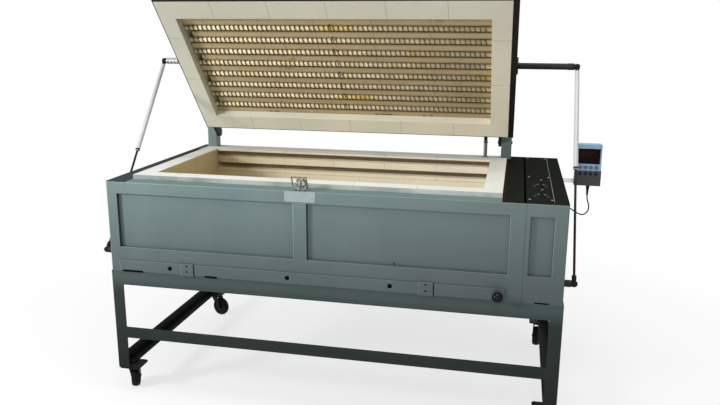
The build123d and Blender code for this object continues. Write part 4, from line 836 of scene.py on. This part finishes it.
def lid_coils():
    """Wire wound on a pale ceramic tube in each groove of the lid, with its links and tails."""
    z = SLAB_FACE + ROW_DEPTH
    x0, x1 = SLAB_X[0] + COIL_IN, SLAB_X[1] - COIL_IN

    def wires(work):
        for k, y in enumerate(LID_ROWS):
            lean = 2.0 * math.sin(1.7 * k)
            ends = (x0 + lean, x1 + lean)
            add_tube(work, helix(ends, y, z, LID_COIL, LID_TURNS, 16, lid_at), LID_WIRE_R, sides=6)

    def links(work):
        for first, second in zip(LID_ROWS[::2], LID_ROWS[1::2]):
            add_tube(work, [lid_at(x0, first, z + 14), lid_at(x0, second, z + 14)], LID_LINK_R)
        for y in LID_ROWS:
            add_tube(work, [lid_at(x1, y, z + 8), lid_at(x1, y, TAIL_TOP)], LID_TAIL_R)

    def tubes(work):
        for y in LID_ROWS:
            left, right = lid_at(x0 - TUBE_OUT, y, z), lid_at(x1 + TUBE_OUT, y, z)
            add_tube(work, [left, left.lerp(right, 0.5), right], LID_TUBE_R, sides=24)

    wire = piece("lid_element_coils", wires, "lid", WIRE)
    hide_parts("lid_elements")
    piece("lid_element_links", links, "lid", WIRE)
    tube = piece("lid_element_tubes", tubes, "lid", TUBE)
    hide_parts("lid_tubes")


def lid_pins():
    """Pins that hold the rows at mid length, and the wire ends at the slab's rear edge."""
    z = SLAB_FACE

    def pins(work):
        for k, y in enumerate(LID_ROWS):
            x = PIN_X + 3.0 * math.sin(2.3 * k)
            route = [(x - 4, y - 27, z + 4), (x - 4, y - 25, z - 3), (x, y - 14, z - 5),
                     (x + 2, y + 4, z - 6), (x + 3, y + 15, z - 2), (x + 3, y + 17, z + 6)]
            add_tube(work, [lid_at(*spot) for spot in route], PIN_R, sides=6)
        y = SLAB_REAR - 7
        for x in WIRE_ENDS_X:
            route = [(x - 6, y, z + 3), (x - 5, y, z - 1.5), (x + 5, y + 1, z - 1.5), (x + 6, y + 1, z + 3)]
            add_tube(work, [lid_at(*spot) for spot in route], WIRE_END_R, sides=6)

    piece("lid_pins", pins, "lid", SCORCH)


def wall_coils():
    """Close-wound coils in the two grooves of each long wall, with their links and tails."""
    x0, x1 = BRICK_X[0] + BRICK_T + COIL_IN, BRICK_X[1] - BRICK_T - COIL_IN
    front, rear = BRICK_Y[0] + BRICK_T - WALL_DEPTH, BRICK_Y[1] - BRICK_T + WALL_DEPTH

    def wires(work):
        for y, link_y in ((front, front - LINK_DEPTH), (rear, rear + LINK_DEPTH)):
            for drop in WALL_ROWS:
                z = RIM - drop
                points = helix((x0, x1), y, z + 2, WALL_COIL, WALL_TURNS, 8, at)
                add_tube(work, points, WALL_WIRE_R, sides=5)
                add_tube(work, [at(x1 - 1, y, z - TAIL_DROP), at(TAIL_END, y, z - TAIL_DROP)], WALL_TAIL_R)
            add_tube(work, [at(x0 + 4, link_y, RIM - drop) for drop in reversed(WALL_ROWS)], WALL_LINK_R)

    wire = piece("wall_element_coils", wires, "kiln", WALL_WIRE)
    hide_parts("wall_elements")


# Controller

def controller_lead():
    """Loose lead from the controller's plug into the side of the body."""
    x, y, z = LEAD_X, LEAD_Y, LEAD_TOP
    entry = (BODY_W + 4, y + 20, z - 72)
    route = [(x, y, z), (x, y, z - 26), (x + 12, y + 1, z - 55), (x + 11, y + 3, z - 83),
             (x - 8, y + 6, z - 104), (x - 34, y + 10, z - 99), (entry[0] + 30, entry[1], entry[2]), entry]
    curve = bpy.data.curves.new("controller_lead", "CURVE")
    curve.dimensions = "3D"
    curve.bevel_depth = LEAD_R
    curve.bevel_resolution = 4
    curve.use_fill_caps = True
    spline = curve.splines.new("NURBS")
    spline.points.add(len(route) - 1)
    for point, spot in zip(spline.points, route):
        point.co = (*at(*spot), 1.0)
    spline.order_u = 3
    spline.use_endpoint_u = True
    spline.resolution_u = 12
    curve.materials.append(RUBBER)
    lead = bpy.data.objects.new("controller_lead", curve)
    bpy.context.collection.objects.link(lead)
    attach(lead, "kiln")
    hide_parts("controller_cord")


def strain_relief():
    """Tapered ribbed sleeve where the lead leaves its plug."""
    def sleeve(work):
        profile = [(0.0, 0.0)]
        for k in range(7):
            radius, height = 0.0058 - 0.0003 * k, 0.004 * k
            profile += [(radius, height), (radius, height + 0.0026), (radius - 0.0008, height + 0.003)]
        profile += [(0.0030, 0.028), (0.0, 0.028)]
        add_lathe(work, profile, at(LEAD_X, LEAD_Y, RELIEF_TOP), (0, 0, -1), 20)

    piece("lead_relief", sleeve, "kiln", RUBBER)


def controller_face():
    """Window of the controller with dim digits."""
    def glass(work):
        add_block(work, (at(PAD_X + WINDOW_X[0], PAD_Y + 0.3, PAD_Z + WINDOW_Z[0]),
                         at(PAD_X + WINDOW_X[1], PAD_Y + 1.6, PAD_Z + WINDOW_Z[1])), bevel=0.0004)

    def digits(work):
        for k, digit in enumerate(DIGITS):
            left, low = PAD_X + DIGIT_AT[0] + DIGIT_PITCH * k, PAD_Z + DIGIT_AT[1]
            for letter in LIT_BARS[digit]:
                x0, z0, x1, z1 = BARS[letter]
                add_block(work, (at(left + x0, PAD_Y + 0.1, low + z0), at(left + x1, PAD_Y + 0.4, low + z1)))

    piece("controller_window", glass, "kiln", WINDOW)
    piece("controller_digits", digits, "kiln", SEGMENT)


# Front and top

def cover_screws():
    """Pan-head screws on the cover of the control compartment."""
    def heads(work):
        for x in COVER_SCREWS_X:
            for y in COVER_SCREWS_Y:
                add_lathe(work, COVER_SCREW, at(x, y, COVER_TOP), (0, 0, 1), 16)

    piece("cover_screws", heads, "kiln", MARK)


def front_screws():
    """Screws of the slide's straps, and one small plug in the plane of the front's frames."""
    spots = [(x, STRAP_FACE, z) for x in STRAPS_X for z in STRAP_SCREWS_Z] + [FRONT_PLUG]

    def heads(work):
        for spot in spots:
            add_lathe(work, FRONT_SCREW, at(*spot), (0, -1, 0), 16)

    piece("front_screws", heads, "kiln", DARK_STEEL)


def slide_gap_shadows():
    """Painted shadow in the dark gaps of the slide: discs at the back of its three holes, slits beside its
    straps and along its foot.
    One more slit is at the body's foot, far right."""
    low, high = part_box("slide_bar")
    face = low[1]

    def shadow_slit(work, x0, x1, z0, z1):
        add_block(work, ((x_at(x0), face - GAP_T, z0), (x_at(x1), face + GAP_T, z1)))

    def hole_shadows(work):
        for x in SLIDE_HOLES_X:
            add_lathe(work, HOLE_SHADOW_DISC, (x_at(x), face + 0.003, (low[2] + high[2]) / 2), (0, -1, 0), 24)

    def slit_shadows(work):
        for x in STRAPS_X:
            shadow_slit(work, x + STRAP_GAP[0], x + STRAP_GAP[1], low[2] + 0.001, high[2] - 0.001)
        for x0, x1 in FOOT_GAPS:
            shadow_slit(work, x0, x1, low[2] - 0.0025, low[2] + 0.006)
        add_block(work, [at(*spot) for spot in CORNER_GAP])

    piece("slide_hole_shadows", hole_shadows, "vent_slide", SHADOW, smooth=False)
    piece("slide_slit_shadows", slit_shadows, "kiln", SHADOW, smooth=False)


def bare_plate():
    """Blank plate under the latch, held by four rivets."""
    def sheet(work):
        add_block(work, (at(*PLATE_LOW), at(*PLATE_HIGH)), bevel=0.0008)

    def rivets(work):
        for x in (PLATE_LOW[0] + RIVET_IN, PLATE_HIGH[0] - RIVET_IN):
            for z in (PLATE_LOW[2] + RIVET_IN, PLATE_HIGH[2] - RIVET_IN):
                add_lathe(work, RIVET, at(x, PLATE_LOW[1], z), (0, -1, 0), 12)

    piece("front_plate", sheet, "kiln", PLATE, smooth=False)
    piece("front_plate_rivets", rivets, "kiln", NICKEL)


def selector_marks():
    """Pointer line on each knob and ticks round each dial."""
    for name, y in DIALS:
        def pointer(work):
            add_block(work, (at(DIAL_X - 1, y - 15, DIAL_TOP + 26.1), at(DIAL_X + 1, y - 3, DIAL_TOP + 26.8)),
                      bevel=0.0002)

        def ticks(work):
            for k in range(4):
                angle = math.radians(-90 + 60 * k)
                spot = at(DIAL_X + TICK_RADIUS * math.sin(angle), y - TICK_RADIUS * math.cos(angle),
                          DIAL_TOP + 0.1)
                turn = Matrix.Translation(spot) @ Matrix.Rotation(angle, 4, "Z")
                made = bmesh.ops.create_cube(work, size=1.0)["verts"]
                bmesh.ops.transform(work, matrix=turn @ Matrix.Diagonal((*TICK_SIZE, 1)), verts=made)

        piece(f"selector_pointer_{name}", pointer, f"{name}_selector", MARK)
        piece(f"selector_ticks_{name}", ticks, "kiln", DIM_MARK)


# Struts and their arms

def add_socket(work, middle, way):
    """Ball socket with its neck."""
    add_lathe(work, BALL, middle, (1, 0, 0), 24)
    add_lathe(work, NECK, middle, way, 20)


def strut_ends():
    """Black ball sockets at both ends of each strut, with the seal where the rod leaves its tube."""
    low, high = Vector((0.0, *STRUT_LOW)), Vector((0.0, *STRUT_HIGH))
    ahead = (high - low).normalized()
    for side, x in (("left", -STRUT_OUT), ("right", BODY_W + STRUT_OUT)):
        low_at, high_at = at(x, low.y, low.z), at(x, high.y, high.z)

        def low_end(work):
            add_socket(work, low_at, ahead)

        def high_end(work):
            add_socket(work, high_at, -ahead)
            add_lathe(work, SEAL, high_at - ahead * SEAL_BACK, ahead, 24)

        piece(f"strut_socket_low_{side}", low_end, f"{side}_strut_rod", MATTE)
        piece(f"strut_socket_high_{side}", high_end, f"{side}_strut_cylinder", MATTE)


def arm_sleeves():
    """Threaded bright sleeve on the left arm of the lid, plain dark cap on the right one."""
    def thread(work):
        profile = [(0.0128, 0.0)]
        for k in range(6):
            near = 0.001 + 0.0172 * k
            profile += [(0.0145, near), (0.0162, near + 0.002), (0.0162, near + 0.0095),
                        (0.0145, near + 0.0115), (0.0141, near + 0.0125), (0.0141, near + 0.0165)]
        profile.append((0.0128, 0.106))
        add_lathe(work, profile, lid_at(THREAD_X, ARM_Y, ARM_Z), (1, 0, 0), 28)

    def cap(work):
        add_lathe(work, ARM_CAP, lid_at(CAP_X, ARM_Y, ARM_Z), (-1, 0, 0), 28)

    piece("left_arm_thread", thread, "lid", ZINC)
    piece("right_arm_cap", cap, "lid", ARM)


# Stage

def white_rays(tree):
    """1 for rays that the camera, a mirror or glass sends."""
    path = tree.nodes.new("ShaderNodeLightPath")
    seen = math_node(tree, "MAXIMUM", path.outputs["Is Camera Ray"], path.outputs["Is Transmission Ray"])
    return math_node(tree, "MAXIMUM", seen, path.outputs["Is Glossy Ray"])


def blend_shaders(tree, factor, first, second, target):
    blend = tree.nodes.new("ShaderNodeMixShader")
    for source, socket in zip((factor, first, second), blend.inputs):
        tree.links.new(source, socket)
    tree.links.new(blend.outputs[0], target.inputs["Surface"])


def pale_floor():
    """Pale floor with the object's shadow, which fades into white away from it."""
    bpy.ops.mesh.primitive_plane_add(size=FLOOR_SIZE, location=(0, 0, 0))
    floor = bpy.context.object
    floor.name = "floor"
    material, tree, shader = new_material("floor")
    tone = ramp(tree, noise(tree, 1.5), [(0.3, grey(0.86)), (0.7, grey(0.90))])
    surface(tree, shader, mix(tree, white_rays(tree), grey(0.60), tone), 0.9)
    shine = node(tree, "ShaderNodeEmission", Color=(*WHITE, 1.0), Strength=1.0)
    far = tree.nodes.new("ShaderNodeVectorMath")
    far.operation = "LENGTH"
    tree.links.new(place(tree), far.inputs[0])
    fade = map_range(tree, far.outputs["Value"], *FLOOR_FADE, 0.7, 1.0)
    blend_shaders(tree, times(tree, fade, white_rays(tree)), shader.outputs[0], shine.outputs[0],
                  tree.nodes["Material Output"])
    floor.data.materials.append(material)


def studio_world():
    """Dim even light from all round, behind a background that is seen as white."""
    world = bpy.data.worlds.new("studio")
    bpy.context.scene.world = world
    world.use_nodes = True
    tree = world.node_tree
    tree.nodes.clear()
    dim = node(tree, "ShaderNodeBackground", Color=(0.95, 0.97, 1.0, 1.0), Strength=0.44)
    white = node(tree, "ShaderNodeBackground", Color=(*WHITE, 1.0), Strength=1.0)
    blend_shaders(tree, white_rays(tree), dim.outputs[0], white.outputs[0],
                  tree.nodes.new("ShaderNodeOutputWorld"))


def soft_lamps():
    for name, spot, target, size, power in LAMPS:
        lamp = bpy.data.lights.new(name, "AREA")
        lamp.size = size
        lamp.energy = power
        made = bpy.data.objects.new(name, lamp)
        made.location = spot
        made.rotation_euler = (Vector(target) - Vector(spot)).to_track_quat("-Z", "Y").to_euler()
        bpy.context.collection.objects.link(made)


def photo_camera():
    """Camera at the photograph's place and angle."""
    forward = Vector((-math.sin(CAMERA_YAW) * math.cos(CAMERA_PITCH),
                      math.cos(CAMERA_YAW) * math.cos(CAMERA_PITCH), -math.sin(CAMERA_PITCH)))
    right = Vector((math.cos(CAMERA_YAW), math.sin(CAMERA_YAW), 0.0))
    up = right.cross(forward)
    c, s = math.cos(CAMERA_ROLL), math.sin(CAMERA_ROLL)
    right, up = right * c + up * s, up * c - right * s
    turn = Matrix((right, up, -forward)).transposed().to_4x4()
    data = bpy.data.cameras.new("camera")
    data.lens = LENS
    data.sensor_width = SENSOR
    camera = bpy.data.objects.new("camera", data)
    camera.matrix_world = Matrix.Translation(at(*CAMERA)) @ turn
    bpy.context.collection.objects.link(camera)
    bpy.context.scene.camera = camera
    bpy.context.scene.view_settings.view_transform = "Standard"


# CAD nodes

def dress(material, *nodes):
    """Give CAD nodes a finished material."""
    for name in nodes:
        mesh = frame["nodes"][name].data
        mesh.materials.clear()
        mesh.materials.append(material)


def dress_frame():
    """Finished materials for the CAD nodes that stay."""
    dress(BODY, "casing_frames", "control_shell", "slide_bar", "slide_straps", "hinge_posts")
    dress(PANEL, "casing_panels")
    dress(TOP, "top_plates")
    dress(EDGE, "lid_casing", "lid_wire_cover")
    dress(STAND, "stand_top_frame", "stand_legs", "stand_low_rails")
    dress(ARM, "strut_brackets", "lid_brackets")
    dress(ROD, "strut_rod_left", "strut_rod_right")
    dress(WALL, "wall_bricks")
    dress(FLOOR, "floor_bricks")
    dress(LID_BRICK, "lid_rim_bricks")
    dress(SLAB, "lid_slab")
    dress(FIBRE, "wall_insulation")
    dress(NICKEL, "latch_base", "latch_lever", "latch_bail", "latch_keeper")
    dress(ZINC, "thermocouple")
    dress(DARK_STEEL, "caster_plates", *[f"caster_fork_{corner_name}" for corner_name in CASTERS])
    dress(CONDUIT, "lid_conduit")
    dress(RUBBER, *[f"caster_wheel_{corner_name}" for corner_name in CASTERS])
    dress(SILVER, "strut_cylinder_left", "strut_cylinder_right")
    dress(BLACK, "slide_knob", "lid_handle")
    dress(KNOB, "selector_knob_front", "selector_knob_rear")
    dress(MATTE, "selector_switches", "entry_glands", "controller_plug")
    dress(CRADLE, "controller_cradle")
    dress(CASE, "controller_case")
    dress(KEY, *[f"button_{k}" for k in range(1, 5)])
    dress(DARK_KEY, *[f"button_{k}" for k in range(5, 9)])
    dress(PALE, "switch_gear")


dress_frame()
lid_coils()
lid_pins()
wall_coils()
controller_lead()
strain_relief()
cover_screws()
front_screws()
slide_gap_shadows()
bare_plate()
strut_ends()
arm_sleeves()
selector_marks()
controller_face()
pale_floor()
studio_world()
soft_lamps()
photo_camera()
